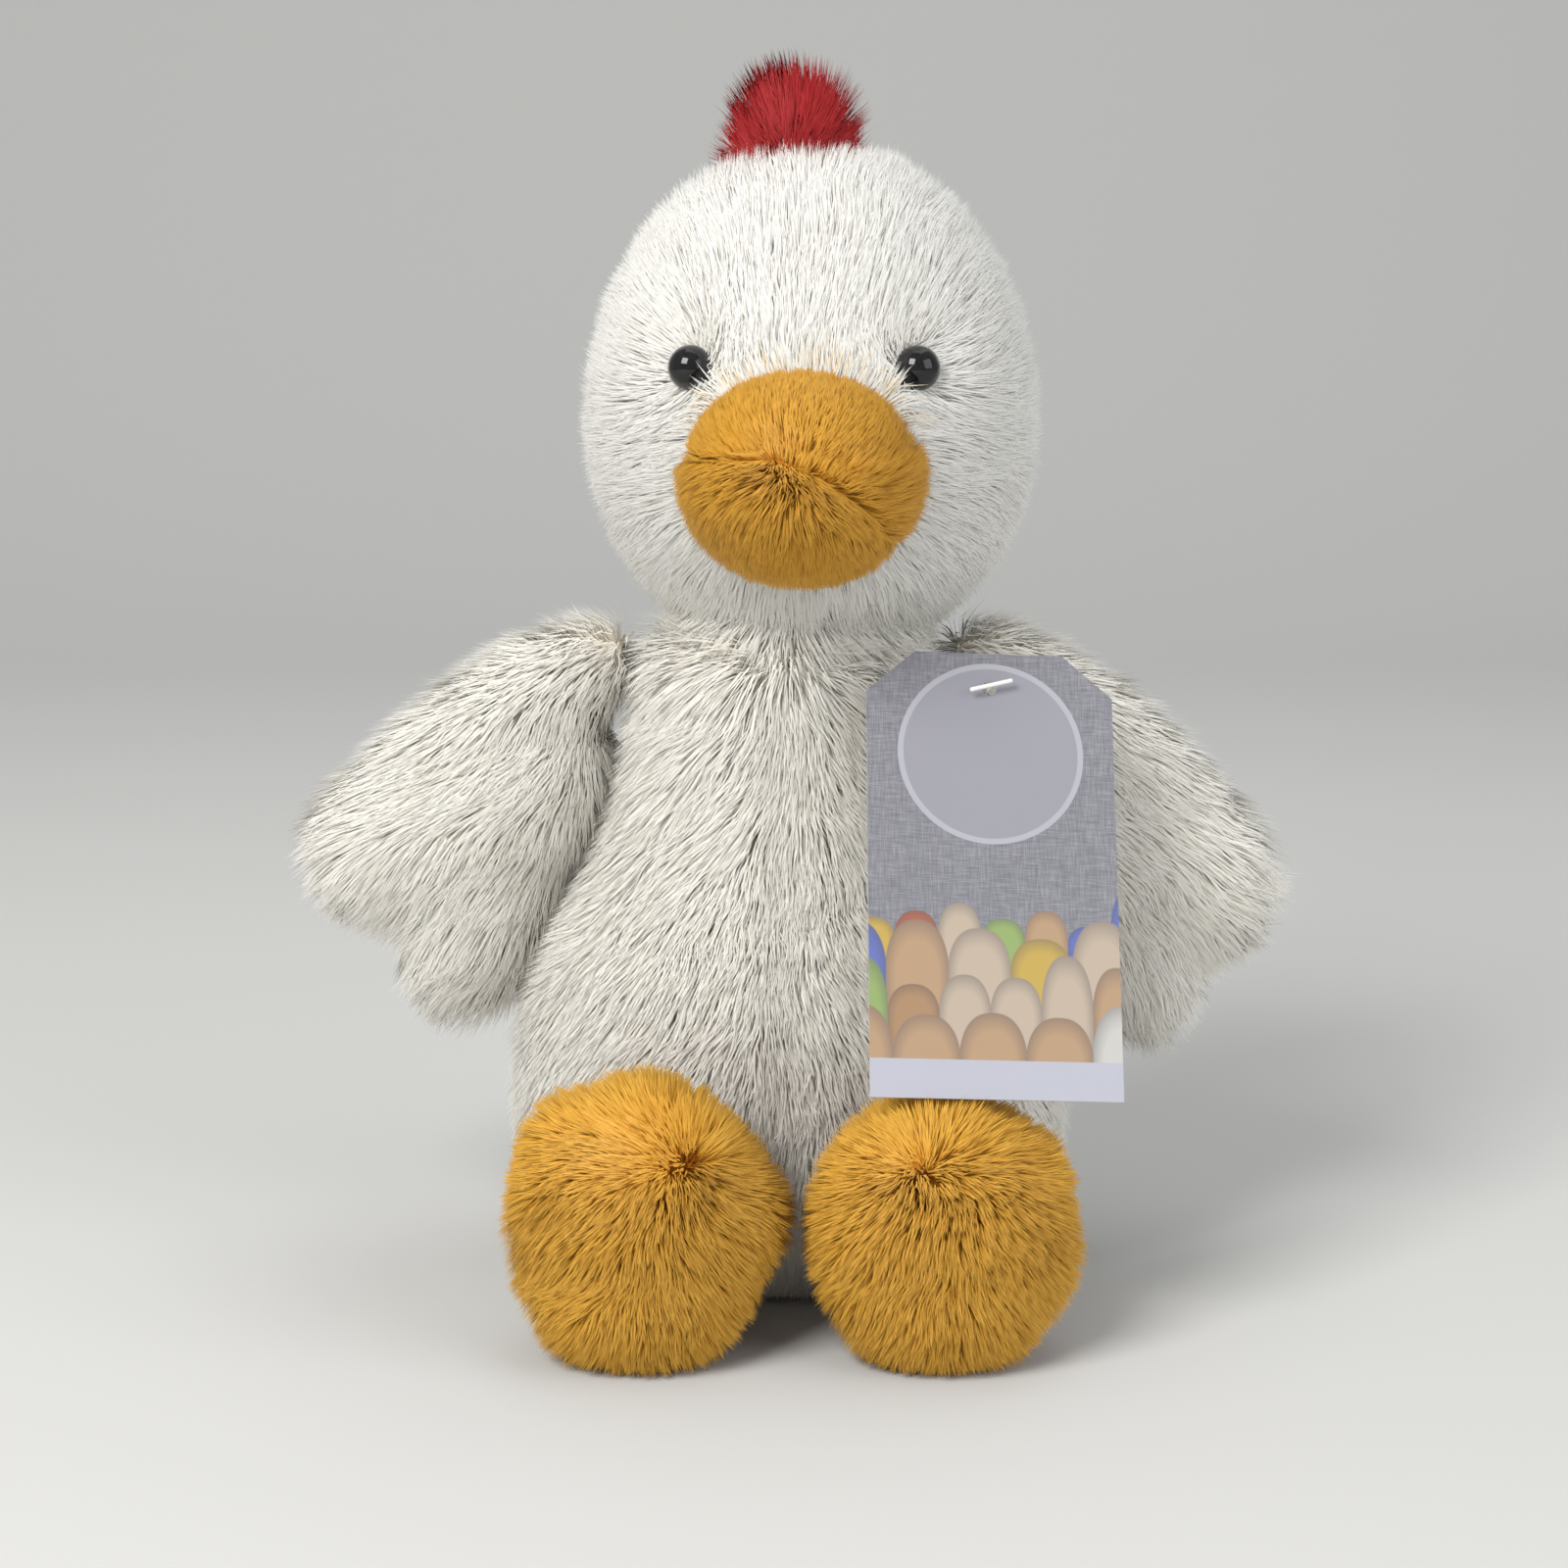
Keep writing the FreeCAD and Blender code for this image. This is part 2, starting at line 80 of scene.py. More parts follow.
camera_data = bpy.data.cameras.new("camera")
camera_data.angle = 2 * math.atan(FILM_WIDTH / 2 / FOCAL_LENGTH)
camera_data.clip_start = 0.01
camera = bpy.data.objects.new("camera", camera_data)
camera.location = CAMERA_PLACE
camera.rotation_euler = (math.pi / 2 - CAMERA_DOWN, 0, 0)
bpy.context.collection.objects.link(camera)
bpy.context.scene.camera = camera
print("lens angle", round(math.degrees(camera_data.angle), 1), "degrees")


# %% Materials: a start for every finish
def principled(name, colour=(0.8, 0.8, 0.8), roughness=0.6):
    """New material with one Principled shader; gives the material, its tree and the shader."""
    material = bpy.data.materials.new(name)
    material.use_nodes = True
    tree = material.node_tree
    shader = tree.nodes["Principled BSDF"]
    shader.inputs["Base Color"].default_value = (*colour, 1)
    shader.inputs["Roughness"].default_value = roughness
    return material, tree, shader


def ramp(tree, source, stops, between="LINEAR"):
    """Colour ramp from a list of (position, colour)."""
    node = tree.nodes.new("ShaderNodeValToRGB")
    node.color_ramp.interpolation = between
    elements = node.color_ramp.elements
    while len(elements) < len(stops):
        elements.new(0.5)
    for element, (position, colour) in zip(elements, stops):
        element.position = position
        element.color = (*colour, 1)
    tree.links.new(source, node.inputs["Fac"])
    return node.outputs["Color"]


def polish(tree, shader, source, low, high):
    """Roughness that runs from low to high as a socket runs from 0 to 1."""
    node = tree.nodes.new("ShaderNodeMapRange")
    node.inputs["To Min"].default_value = low
    node.inputs["To Max"].default_value = high
    tree.links.new(source, node.inputs["Value"])
    tree.links.new(node.outputs["Result"], shader.inputs["Roughness"])


def relief(tree, shader, height, strength, distance):
    """Bump from a height socket."""
    bump = tree.nodes.new("ShaderNodeBump")
    bump.inputs["Strength"].default_value = strength
    bump.inputs["Distance"].default_value = distance
    tree.links.new(height, bump.inputs["Height"])
    tree.links.new(bump.outputs["Normal"], shader.inputs["Normal"])


# %% Floor and backdrop
FLOOR_SIDES = (-3.0, 3.0)   # the floor is in metres
FLOOR_FRONT_Y = -1.6
BEND_Y = 1.0
BEND_RADIUS = 0.8
BEND_STEPS = 16


def make_floor():
    """One pale sheet that curves up behind the toy."""
    floor = bmesh.new()
    corners = [floor.verts.new((x, FLOOR_FRONT_Y, 0)) for x in FLOOR_SIDES]
    edge = floor.edges.new(corners)
    grown = bmesh.ops.extrude_edge_only(floor, edges=[edge])
    ends = [v for v in grown["geom"] if isinstance(v, bmesh.types.BMVert)]
    bmesh.ops.translate(floor, verts=ends, vec=(0, BEND_Y - FLOOR_FRONT_Y, 0))
    last = [e for e in grown["geom"] if isinstance(e, bmesh.types.BMEdge)]
    rim = [e for e in last if all(v in ends for v in e.verts)]
    bmesh.ops.spin(floor, geom=rim, cent=(0, BEND_Y, BEND_RADIUS), axis=(1, 0, 0),
                   dvec=(0, 0, 0), angle=math.radians(90), steps=BEND_STEPS,
                   use_merge=False, use_duplicate=False)
    mesh = bpy.data.meshes.new("floor")
    floor.to_mesh(mesh)
    floor.free()
    for face in mesh.polygons:
        face.use_smooth = True
    obj = bpy.data.objects.new("floor", mesh)
    bpy.context.collection.objects.link(obj)
    material, _, _ = principled("pale_floor", (0.66, 0.66, 0.645), 0.85)
    mesh.materials.append(material)
    print("floor height", [round(v, 3) for v in (obj.bound_box[0][2], obj.bound_box[1][2])])


make_floor()


# %% Lamps and sky
def soft_lamp(name, place, target, size, power, colour=(1, 1, 1)):
    """Square area lamp aimed at a point."""
    data = bpy.data.lights.new(name, "AREA")
    data.size = size
    data.energy = power
    data.color = colour
    lamp = bpy.data.objects.new(name, data)
    lamp.location = place
    lamp.rotation_euler = (Vector(target) - Vector(place)).to_track_quat("-Z", "Y").to_euler()
    bpy.context.collection.objects.link(lamp)


SKY_COLOUR = (0.86, 0.87, 0.88, 1)
SKY_STRENGTH = 0.42

soft_lamp("key_lamp", (-0.75, -1.1, 1.15), (0, 0, 0.12), 0.8, 25.5, (1, 0.985, 0.955))
soft_lamp("fill_lamp", (1.3, -0.9, 0.8), (0, 0, 0.12), 1.2, 9, (0.97, 0.98, 1))
soft_lamp("top_lamp", (0.1, 0.3, 1.4), (0, 0, 0.2), 0.9, 3)
sky = bpy.data.worlds.new("sky")
sky.use_nodes = True
sky.node_tree.nodes["Background"].inputs["Color"].default_value = SKY_COLOUR
sky.node_tree.nodes["Background"].inputs["Strength"].default_value = SKY_STRENGTH
bpy.context.scene.world = sky
bpy.context.scene.view_settings.view_transform = "Standard"

# %% [markdown]
# ## Sewn forms
# A stuffed cover is one rounded closed form with its seams drawn in. Each form here starts
# from the frame's own panels and filling, merged by a voxel remesh, so it can't drift from
# its place. Rounds of smoothing then take the hard meeting lines of the lobes away, as the
# filling does when it presses out a sewn cover.


# %% Small mesh helpers
def apply_modifiers(obj):
    """Swap an object's mesh for what its modifiers make."""
    graph = bpy.context.evaluated_depsgraph_get()
    made = bpy.data.meshes.new_from_object(obj.evaluated_get(graph))
    obj.modifiers.clear()
    obj.data = made


def drop_inner_shells(shape):
    """Keep only the largest closed island of a mesh."""
    left = set(shape.verts)
    islands = []
    while left:
        queue = [left.pop()]
        island = set(queue)
        while queue:
            for edge in queue.pop().link_edges:
                for vert in edge.verts:
                    if vert in left:
                        left.discard(vert)
                        island.add(vert)
                        queue.append(vert)
        islands.append(island)
    islands.sort(key=len)
    for island in islands[:-1]:
        bmesh.ops.delete(shape, geom=list(island), context="VERTS")


def vertices_of(obj, value="co"):
    """Places of an object's vertices as an array, or their normals."""
    values = np.empty(len(obj.data.vertices) * 3)
    obj.data.vertices.foreach_get(value, values)
    return values.reshape(-1, 3)


def move_to(obj, places):
    """Set the vertex places of an object."""
    obj.data.vertices.foreach_set("co", places.ravel())
    obj.data.update()


# %% From panels to one soft form
def soft_form(name, nodes, voxel, rounds):
    """Closed smooth mesh object over the frame's nodes."""
    merged = bmesh.new()
    for node in nodes:
        merged.from_mesh(bpy.data.objects[node].data)
    bmesh.ops.remove_doubles(merged, verts=merged.verts, dist=1e-6)
    mesh = bpy.data.meshes.new(name)
    merged.to_mesh(mesh)
    merged.free()
    obj = bpy.data.objects.new(name, mesh)
    bpy.context.collection.objects.link(obj)
    remesh = obj.modifiers.new("remesh", "REMESH")
    remesh.mode = "VOXEL"
    remesh.voxel_size = voxel
    apply_modifiers(obj)
    shape = bmesh.new()
    shape.from_mesh(obj.data)
    drop_inner_shells(shape)
    for _ in range(rounds):
        bmesh.ops.smooth_vert(shape, verts=shape.verts, factor=0.5,
                              use_axis_x=True, use_axis_y=True, use_axis_z=True)
    bmesh.ops.recalc_face_normals(shape, faces=shape.faces)
    shape.to_mesh(obj.data)
    shape.free()
    obj.data.polygons.foreach_set("use_smooth", [True] * len(obj.data.polygons))
    print(name, "faces", len(obj.data.polygons))
    return obj


# %% Landmarks from the frame
def names_with(start):
    """Frame nodes whose names start with a word."""
    return [n for n in frame["nodes"] if n.startswith(start)]


def middle_of(*nodes):
    """Middle of the box around some frame nodes."""
    low = np.min([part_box(n)[0] for n in nodes], axis=0)
    high = np.max([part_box(n)[1] for n in nodes], axis=0)
    return (low + high) / 2


HEAD_MIDDLE = middle_of(*names_with("head_back_"), *names_with("head_front_"))
BEAK_MIDDLE = middle_of("beak_upper", "beak_lower")
BEAK_FRONT_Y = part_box("beak_upper")[0][1]
EYES = {s: middle_of(f"eye_{s}") for s in SIDES}
COMB_BASE = middle_of("comb_front", "comb_back") * [1, 1, 0] + [0, 0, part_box("comb_front")[0][2]]
NECK_OPENING_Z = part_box("body_front_left")[1][2]
JOINTS = {j["name"]: j for j in frame["record"]["behaviour"]["joints"]}
JOINT_AT = {name: np.array(joint["pos_m"]) for name, joint in JOINTS.items()}
FOOT_SEAM_Y = {s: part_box(f"foot_{s}_sole")[1][1] for s in SIDES}
print("head middle", HEAD_MIDDLE.round(4), "beak middle", BEAK_MIDDLE.round(4))

# %% The forms of this toy
body = soft_form("body_backing", names_with("body_") + ["base_panel", "bean_pouch"], 4.6 * MM, 2)
head = soft_form("head_backing", names_with("head_"), 4.0 * MM, 2)
neck = soft_form("neck_backing", ["neck_stuffing"], 3.0 * MM, 2)
beak = soft_form("beak_backing", names_with("beak_"), 1.4 * MM, 4)
comb = soft_form("comb_backing", names_with("comb_"), 1.0 * MM, 3)
wings = {s: soft_form(f"wing_{s}_backing", names_with(f"wing_{s}_"), 3.4 * MM, 4) for s in SIDES}
feet = {s: soft_form(f"foot_{s}_backing", names_with(f"foot_{s}_"), 3.2 * MM, 3) for s in SIDES}

# %% [markdown]
# ## Filling the covers
# A seam can't stretch, so when filling is pushed into a cover its panels crown and its seams
# stay behind as shallow valleys. Modelling each valley by hand is slow. Here the cloth
# solver does it: each form is drawn in a little, its seams are held, and air pressure
# pushes the rest out for twenty steps. The eyes are held too, because their washers pull
# the cloth inwards.

# %% Where each cover is held
SEAM_REACH = 2.6 * MM
BODY_VALLEY = 1.6 * MM
FLAT_VALLEY = 1.2 * MM
BROW_VALLEY = 0.8 * MM
EYE_VALLEY = 2.6 * MM
EYE_PULL = 8 * MM
SEAT_HELD = 4 * MM
NECK_HELD = 7 * MM


def near_plane(values, reach=SEAM_REACH):
    """How much points near a plane are held: 1 on it, 0 beyond its reach."""
    return (np.abs(values) < reach).astype(float)


def body_seams(points):
    """Middle seams, side seams, the seat and the neck opening."""
    seams = np.maximum(near_plane(points[:, 0]), near_plane(points[:, 1]))
    ends = (points[:, 2] < SEAT_HELD) | (points[:, 2] > NECK_OPENING_Z - NECK_HELD)
    return np.where(ends, 0.0, BODY_VALLEY * seams), ends | (seams > 0)


def head_seams(points):
    """Middle seam over the brow, and the pull of the two eyes."""
    brow = near_plane(points[:, 0] - HEAD_MIDDLE[0]) * (points[:, 2] > HEAD_MIDDLE[2])
    depth = BROW_VALLEY * brow
    for eye in EYES.values():
        away = np.linalg.norm(points - eye, axis=1)
        depth = np.maximum(depth, EYE_VALLEY * np.exp(-(away / EYE_PULL) ** 4))
    return depth, depth > 0.75 * BROW_VALLEY


def flat_seam(middle_y, floor):
    """Held line round a two-panel cover."""
    def seams(points):
        line = near_plane(points[:, 1] - middle_y)
        ends = points[:, 2] < floor
        return np.where(ends, 0.0, FLAT_VALLEY * line), ends | (line > 0)
    return seams


# %% Fill one cover
DRAWN_IN = 1.0 * MM
FORM_CLEAR = 0.4 * MM       # height kept above the floor
PRESSURE = 4.0
CLOTH_STEPS = 20


def fill_cover(obj, seams, most):
    """Hold the seams, press the panels out with the cloth solver, then smooth by one level."""
    places = vertices_of(obj)
    depth, held = seams(places)
    places = places - vertices_of(obj, "normal") * (DRAWN_IN + depth)[:, None]
    places[:, 2] = np.maximum(places[:, 2], FORM_CLEAR)
    move_to(obj, places)
    pins = obj.vertex_groups.new(name="seams")
    pins.add(np.flatnonzero(held).tolist(), 1.0, "REPLACE")
    cloth = obj.modifiers.new("cloth", "CLOTH")
    cloth.settings.vertex_group_mass = pins.name
    cloth.settings.use_pressure = True
    cloth.settings.uniform_pressure_force = PRESSURE
    cloth.settings.effector_weights.gravity = 0
    cloth.collision_settings.use_collision = False
    for step in range(1, CLOTH_STEPS + 1):
        bpy.context.scene.frame_set(step)
    apply_modifiers(obj)
    bpy.context.scene.frame_set(1)
    moved = vertices_of(obj) - places
    far = np.linalg.norm(moved, axis=1)
    print(obj.name, "pressed out by up to", round(far.max() / MM, 2), "mm")
    moved = moved * np.minimum(1, most / np.maximum(far, TINY))[:, None]
    places = places + moved
    places[:, 2] = np.maximum(places[:, 2], FORM_CLEAR)
    move_to(obj, places)
    obj.vertex_groups.clear()
    smooth = obj.modifiers.new("smooth", "SUBSURF")
    smooth.levels = smooth.render_levels = 1
    apply_modifiers(obj)


fill_cover(body, body_seams, 3.0 * MM)
fill_cover(head, head_seams, 2.0 * MM)
for side in SIDES:
    fill_cover(wings[side], flat_seam(0.0, -1), 2.5 * MM)
    fill_cover(feet[side], flat_seam(FOOT_SEAM_Y[side], 2 * MM), 2.5 * MM)

# %% Mouth crease
MOUTH_LINE = np.array([(-24.4, 190.7), (-14.0, 191.8), (-3.0, 192.6), (6.0, 189.0),
                       (14.7, 182.8), (18.0, 176.0)]) * MM
MOUTH_DEPTH = 3.0 * MM
MOUTH_WIDTH = 4.5 * MM


def to_line(flat_points, line):
    """Distance from points to a line of short runs, both seen from the front."""
    best = np.full(len(flat_points), np.inf)
    for start, end in zip(line[:-1], line[1:]):
        run = end - start
        share = np.clip((flat_points - start) @ run / (run @ run), 0, 1)
        gap = np.linalg.norm(flat_points - start - share[:, None] * run, axis=1)
        best = np.minimum(best, gap)
    return best


def press_mouth(obj):
    """Press the mouth line into the front of the beak."""
    places = vertices_of(obj)
    gap = to_line(places[:, [0, 2]], MOUTH_LINE)
    places[:, 1] += MOUTH_DEPTH * np.exp(-(gap / MOUTH_WIDTH) ** 2)
    move_to(obj, places)


press_mouth(beak)
print("mouth line", MOUTH_LINE.round(4).tolist())

# %% [markdown]
# ## Pile
# Faux fur is thousands of fine fibres that stand out of a knitted backing, lean the way the
# cloth was brushed, and cling together in pointed locks. Blender's hair would draw it, but a
# model that leaves Blender needs real faces, and no mesh operator makes fibres. So each
# fibre here is a thin tapered blade of three triangles: it leaves the backing steeply, bends
# over in the brushed direction, and its tip is pulled towards the tip of its lock.


# %% Scatter roots over a form
def surface_arrays(obj):
    """Triangles, places and smooth normals of a mesh as arrays."""
    mesh = obj.data
    mesh.calc_loop_triangles()
    corners = np.empty(len(mesh.loop_triangles) * 3, np.int32)
    mesh.loop_triangles.foreach_get("vertices", corners)
    return corners.reshape(-1, 3), vertices_of(obj), vertices_of(obj, "normal")


def unit(vectors):
    """Vectors at length one."""
    return vectors / np.maximum(np.linalg.norm(vectors, axis=1, keepdims=True), TINY)


def scatter(obj, per_mm2, rng):
    """Random points over a form, with the outward direction at each."""
    corners, places, normals = surface_arrays(obj)
    a, b, c = (places[corners[:, i]] for i in range(3))
    areas = np.linalg.norm(np.cross(b - a, c - a), axis=1) / 2
    count = int(areas.sum() / MM ** 2 * per_mm2)
    picked = np.searchsorted(np.cumsum(areas) / areas.sum(), rng.random(count))
    first = np.sqrt(rng.random(count))
    second = rng.random(count)
    shares = np.stack([1 - first, first * (1 - second), first * second], axis=1)
    chosen = corners[picked]
    points = np.einsum("nc,ncd->nd", shares, places[chosen])
    outward = unit(np.einsum("nc,ncd->nd", shares, normals[chosen]))
    return points, outward


# %% Locks: which fibres cling together
def flat_on(vectors, outward):
    """Part of each vector that lies along the surface, at length one."""
    along = vectors - outward * np.sum(vectors * outward, axis=1, keepdims=True)
    return unit(along)


def nearest_lock(points, centres):
    """Index of the lock nearest to each root."""
    tree = kdtree.KDTree(len(centres))
    for index, centre in enumerate(centres):
        tree.insert(centre, index)
    tree.balance()
    return np.array([tree.find(point)[1] for point in points])


# %% Paths of fibres
LEAN_SPREAD = 0.16          # uneven lean, and uneven rise in radians
RISE_SPREAD = 0.12
UPRIGHT = math.radians(84)


def pile_path(points, outward, flow, length, style, rng):
    """Middle and tip of each fibre before it joins its lock."""
    spread = rng.normal(0, LEAN_SPREAD, points.shape)
    lean = flat_on(flow + spread, outward)
    first, second = (np.radians(angle) + rng.normal(0, RISE_SPREAD, len(points))
                     for angle in style["rise"])
    if style.get("stands"):
        stand = style["stands"](points)
        first, second = (angle + stand * (UPRIGHT - angle) for angle in (first, second))
    reach = (length / 2)[:, None]
    middle = points + reach * (outward * np.sin(first)[:, None] + lean * np.cos(first)[:, None])
    tip = middle + reach * (outward * np.sin(second)[:, None] + lean * np.cos(second)[:, None])
    return middle, tip


# %% Uneven brushing
DRIFT_SEED = 1000
DRIFT_SIZES = (11 * MM, 19 * MM, 31 * MM)
DRIFT_MOST = 2.4


def drift(points):
    """Smooth wandering field over the toy, the same for every piece."""
    rng = np.random.default_rng(DRIFT_SEED)
    field = np.zeros((len(points), 3))
    for size in DRIFT_SIZES:
        wave = unit(rng.normal(size=(3, 3))) * (2 * math.pi / size)
        field += np.sin(points @ wave.T + rng.uniform(0, 6.3, 3))
    return field / DRIFT_MOST


# %% Grow one piece of pile
UNDERCOAT = 0.36            # share of short fibres that close the gaps between locks
UNDERCOAT_LENGTH = 0.62
UNDERCOAT_CLING = 0.3
LOCK_LENGTHS = (0.8, 1.15)  # shares of the full length
FIBRE_LENGTHS = (0.72, 1.08)
CLINGS = (0.6, 1.1)         # shares of the style's cling
MIDDLE_CLING = 0.35
TINGED = 0.01               # shade value that the fur finish draws peach


def grow_pile(name, obj, style, flow_at, length_at, keep, seed, tinged=None):
    """Fibres over the part of a form that keep picks, as one mesh object."""
    rng = np.random.default_rng(seed)
    points, outward = scatter(obj, style["per_mm2"], rng)
    kept = keep(points)
    points, outward = points[kept], outward[kept]
    locks, lock_out = scatter(obj, style["locks_per_mm2"], rng)
    lock_length = length_at(locks) * rng.uniform(*LOCK_LENGTHS, len(locks))
    lock_flow = unit(flow_at(locks)) + style["drift"] * drift(locks)
    lock_mid, lock_tip = pile_path(locks, lock_out, lock_flow, lock_length, style, rng)
    lock_shade = rng.random(len(locks))
    mine = nearest_lock(points, locks)

    short = rng.random(len(points)) < UNDERCOAT
    length = length_at(points) * rng.uniform(*FIBRE_LENGTHS, len(points))
    length = length * np.where(short, UNDERCOAT_LENGTH, 1.0)
    flow = unit(flow_at(points)) + style["drift"] * drift(points)
    middle, tip = pile_path(points, outward, flow, length, style, rng)
    cling = style["cling"] * rng.uniform(*CLINGS, len(points))
    cling = cling * np.where(short, UNDERCOAT_CLING, 1.0)
    middle = middle + (lock_mid[mine] - middle) * cling[:, None] * MIDDLE_CLING
    tip = tip + (lock_tip[mine] - tip) * cling[:, None]
    shade = 0.05 + 0.94 * (0.5 * lock_shade[mine] + 0.5 * rng.random(len(points)))
    if tinged is not None:
        shade = np.where(rng.random(len(points)) < tinged(points), TINGED, shade)
    return blades(name, points, middle, tip, outward, style["width"], shade, short)


# %% Blades from fibre paths
FLOOR_CLEAR = 0.3 * MM
BLADE_WAIST = 0.85          # width half-way up, as a share of the root's
BLADE_TURN = 0.35           # how far shading leans with the fibre
MAP_HALF_WIDTH = 0.003
LONG_BLADE = {"corners": 5, "faces": [(0, 1, 2, 3), (3, 2, 4)],
              "up": [0.01, 0.01, 0.5, 0.5, 0.5, 0.5, 0.99]}
SHORT_BLADE = {"corners": 3, "faces": [(0, 1, 2)], "up": [0.01, 0.01, 0.75]}


def blades(name, root, middle, tip, outward, width, shade, short):
    """Mesh object of tapered blades: three triangles for a long fibre, one for a short."""
    across = unit(np.cross(tip - root, outward)) * (width / 2)
    long_verts = np.stack([root - across, root + across, middle + across * BLADE_WAIST,
                           middle - across * BLADE_WAIST, tip], axis=1)[~short]
    short_verts = np.stack([root - across, root + across, tip], axis=1)[short]
    face_out = unit(outward + BLADE_TURN * unit(middle - root))
    verts, loops, sizes, uvs, normals = [], [], [], [], []
    first = 0
    for corners, blade, picked in ((long_verts, LONG_BLADE, ~short),
                                   (short_verts, SHORT_BLADE, short)):
        count, each = len(corners), blade["corners"]
        verts.append(corners.reshape(-1, 3))
        normals.append(np.repeat(face_out[picked], each, axis=0))
        pattern = np.array([c for face in blade["faces"] for c in face])
        loops.append((first + np.arange(count)[:, None] * each + pattern).ravel())
        sizes.append(np.tile([len(face) for face in blade["faces"]], count))
        uvs.append(blade_map(shade[picked], pattern, blade["up"]))
        first += count * each
    verts, loops, sizes = np.concatenate(verts), np.concatenate(loops), np.concatenate(sizes)
    verts[:, 2] = np.maximum(verts[:, 2], FLOOR_CLEAR)
    return blade_object(name, verts, loops, sizes, np.concatenate(uvs), np.concatenate(normals))


def blade_map(shade, pattern, up):
    """Map places: across is the fibre's shade, up is how far it is from its root."""
    side = MAP_HALF_WIDTH * np.array([(-1, 1, 1, -1, 0)[corner] for corner in pattern])
    u = (0.01 + 0.98 * shade)[:, None] + side
    return np.stack([u, np.broadcast_to(np.array(up), u.shape)], axis=2).reshape(-1, 2)


# %% Mesh object from the arrays
def blade_object(name, verts, loops, sizes, uvs, normals):
    """Object with a map named OFBake and shading that follows the cloth beneath."""
    mesh = bpy.data.meshes.new(name)
    mesh.vertices.add(len(verts))
    mesh.vertices.foreach_set("co", verts.astype(np.float32).ravel())
    mesh.loops.add(len(loops))
    mesh.loops.foreach_set("vertex_index", loops.astype(np.int32))
    mesh.polygons.add(len(sizes))
    starts = np.concatenate([[0], np.cumsum(sizes)[:-1]])
    mesh.polygons.foreach_set("loop_start", starts.astype(np.int32))
    mesh.update(calc_edges=True)
    mesh.polygons.foreach_set("use_smooth", [True] * len(sizes))
    layer = mesh.uv_layers.new(name="OFBake")
    layer.data.foreach_set("uv", uvs.astype(np.float32).ravel())
    mesh.normals_split_custom_set_from_vertices(normals.astype(np.float32))
    obj = bpy.data.objects.new(name, mesh)
    bpy.context.collection.objects.link(obj)
    print(name, "triangles", int((sizes - 2).sum()))
    return obj


# %% [markdown]
# ## Fur finishes
# The root of each fibre is painted darker and warmer than its tip: painted shade, where the
# pile lies in shade under the locks. The tips are painted lighter, as painted light where they
# catch it. Locks also differ a little from each other. The root-to-tip colours and the lock
# tints are both read from the fibre's own map, so the finish stays on the fibre when a wing lifts.


# %% Fur material
def fur_material(name, root, body, tip, tint, tinge, roughness, sheen):
    """Fur finish: painted shade at the root to painted light at the tip, and a tint that differs
    from lock to lock.
    """
    material, tree, shader = principled(name, tip, roughness)
    uv = tree.nodes.new("ShaderNodeUVMap")
    uv.uv_map = "OFBake"
    split = tree.nodes.new("ShaderNodeSeparateXYZ")
    tree.links.new(uv.outputs["UV"], split.inputs["Vector"])
    # the root colour is painted shade and the tip colour is painted light
    along = ramp(tree, split.outputs["Y"], [(0.0, root), (0.4, body), (1.0, tip)])
    shade = ramp(tree, split.outputs["X"],
                 [(0.03, tinge), (0.05, tint), (0.55, (1, 1, 1)), (1.0, (1, 1, 1))])
    mix = tree.nodes.new("ShaderNodeMix")
    mix.data_type = "RGBA"
    mix.blend_type = "MULTIPLY"
    mix.inputs["Factor"].default_value = 1.0
    tree.links.new(along, mix.inputs["A"])
    tree.links.new(shade, mix.inputs["B"])
    tree.links.new(mix.outputs["Result"], shader.inputs["Base Color"])
    polish(tree, shader, split.outputs["Y"], roughness + 0.15, roughness - 0.1)
    shader.inputs["Specular IOR Level"].default_value = 0.25
    shader.inputs["Sheen Weight"].default_value = sheen
    shader.inputs["Sheen Roughness"].default_value = 0.5
    shader.inputs["Sheen Tint"].default_value = (*tip, 1)
    return material


# %% Backing material
LOOPS_PER_METRE = 900
LOOP_RELIEF = 0.3 * MM


def backing_material(name, low, high):
    """Knitted backing under the pile: a fine loop pattern in two tones, with its relief."""
    material, tree, shader = principled(name, high, 0.95)
    place = tree.nodes.new("ShaderNodeTexCoord")
    loops = tree.nodes.new("ShaderNodeTexVoronoi")
    loops.inputs["Scale"].default_value = LOOPS_PER_METRE
    tree.links.new(place.outputs["Object"], loops.inputs["Vector"])
    colour = ramp(tree, loops.outputs["Distance"], [(0.0, high), (1.0, low)])
    tree.links.new(colour, shader.inputs["Base Color"])
    relief(tree, shader, loops.outputs["Distance"], 0.4, LOOP_RELIEF)
    return material


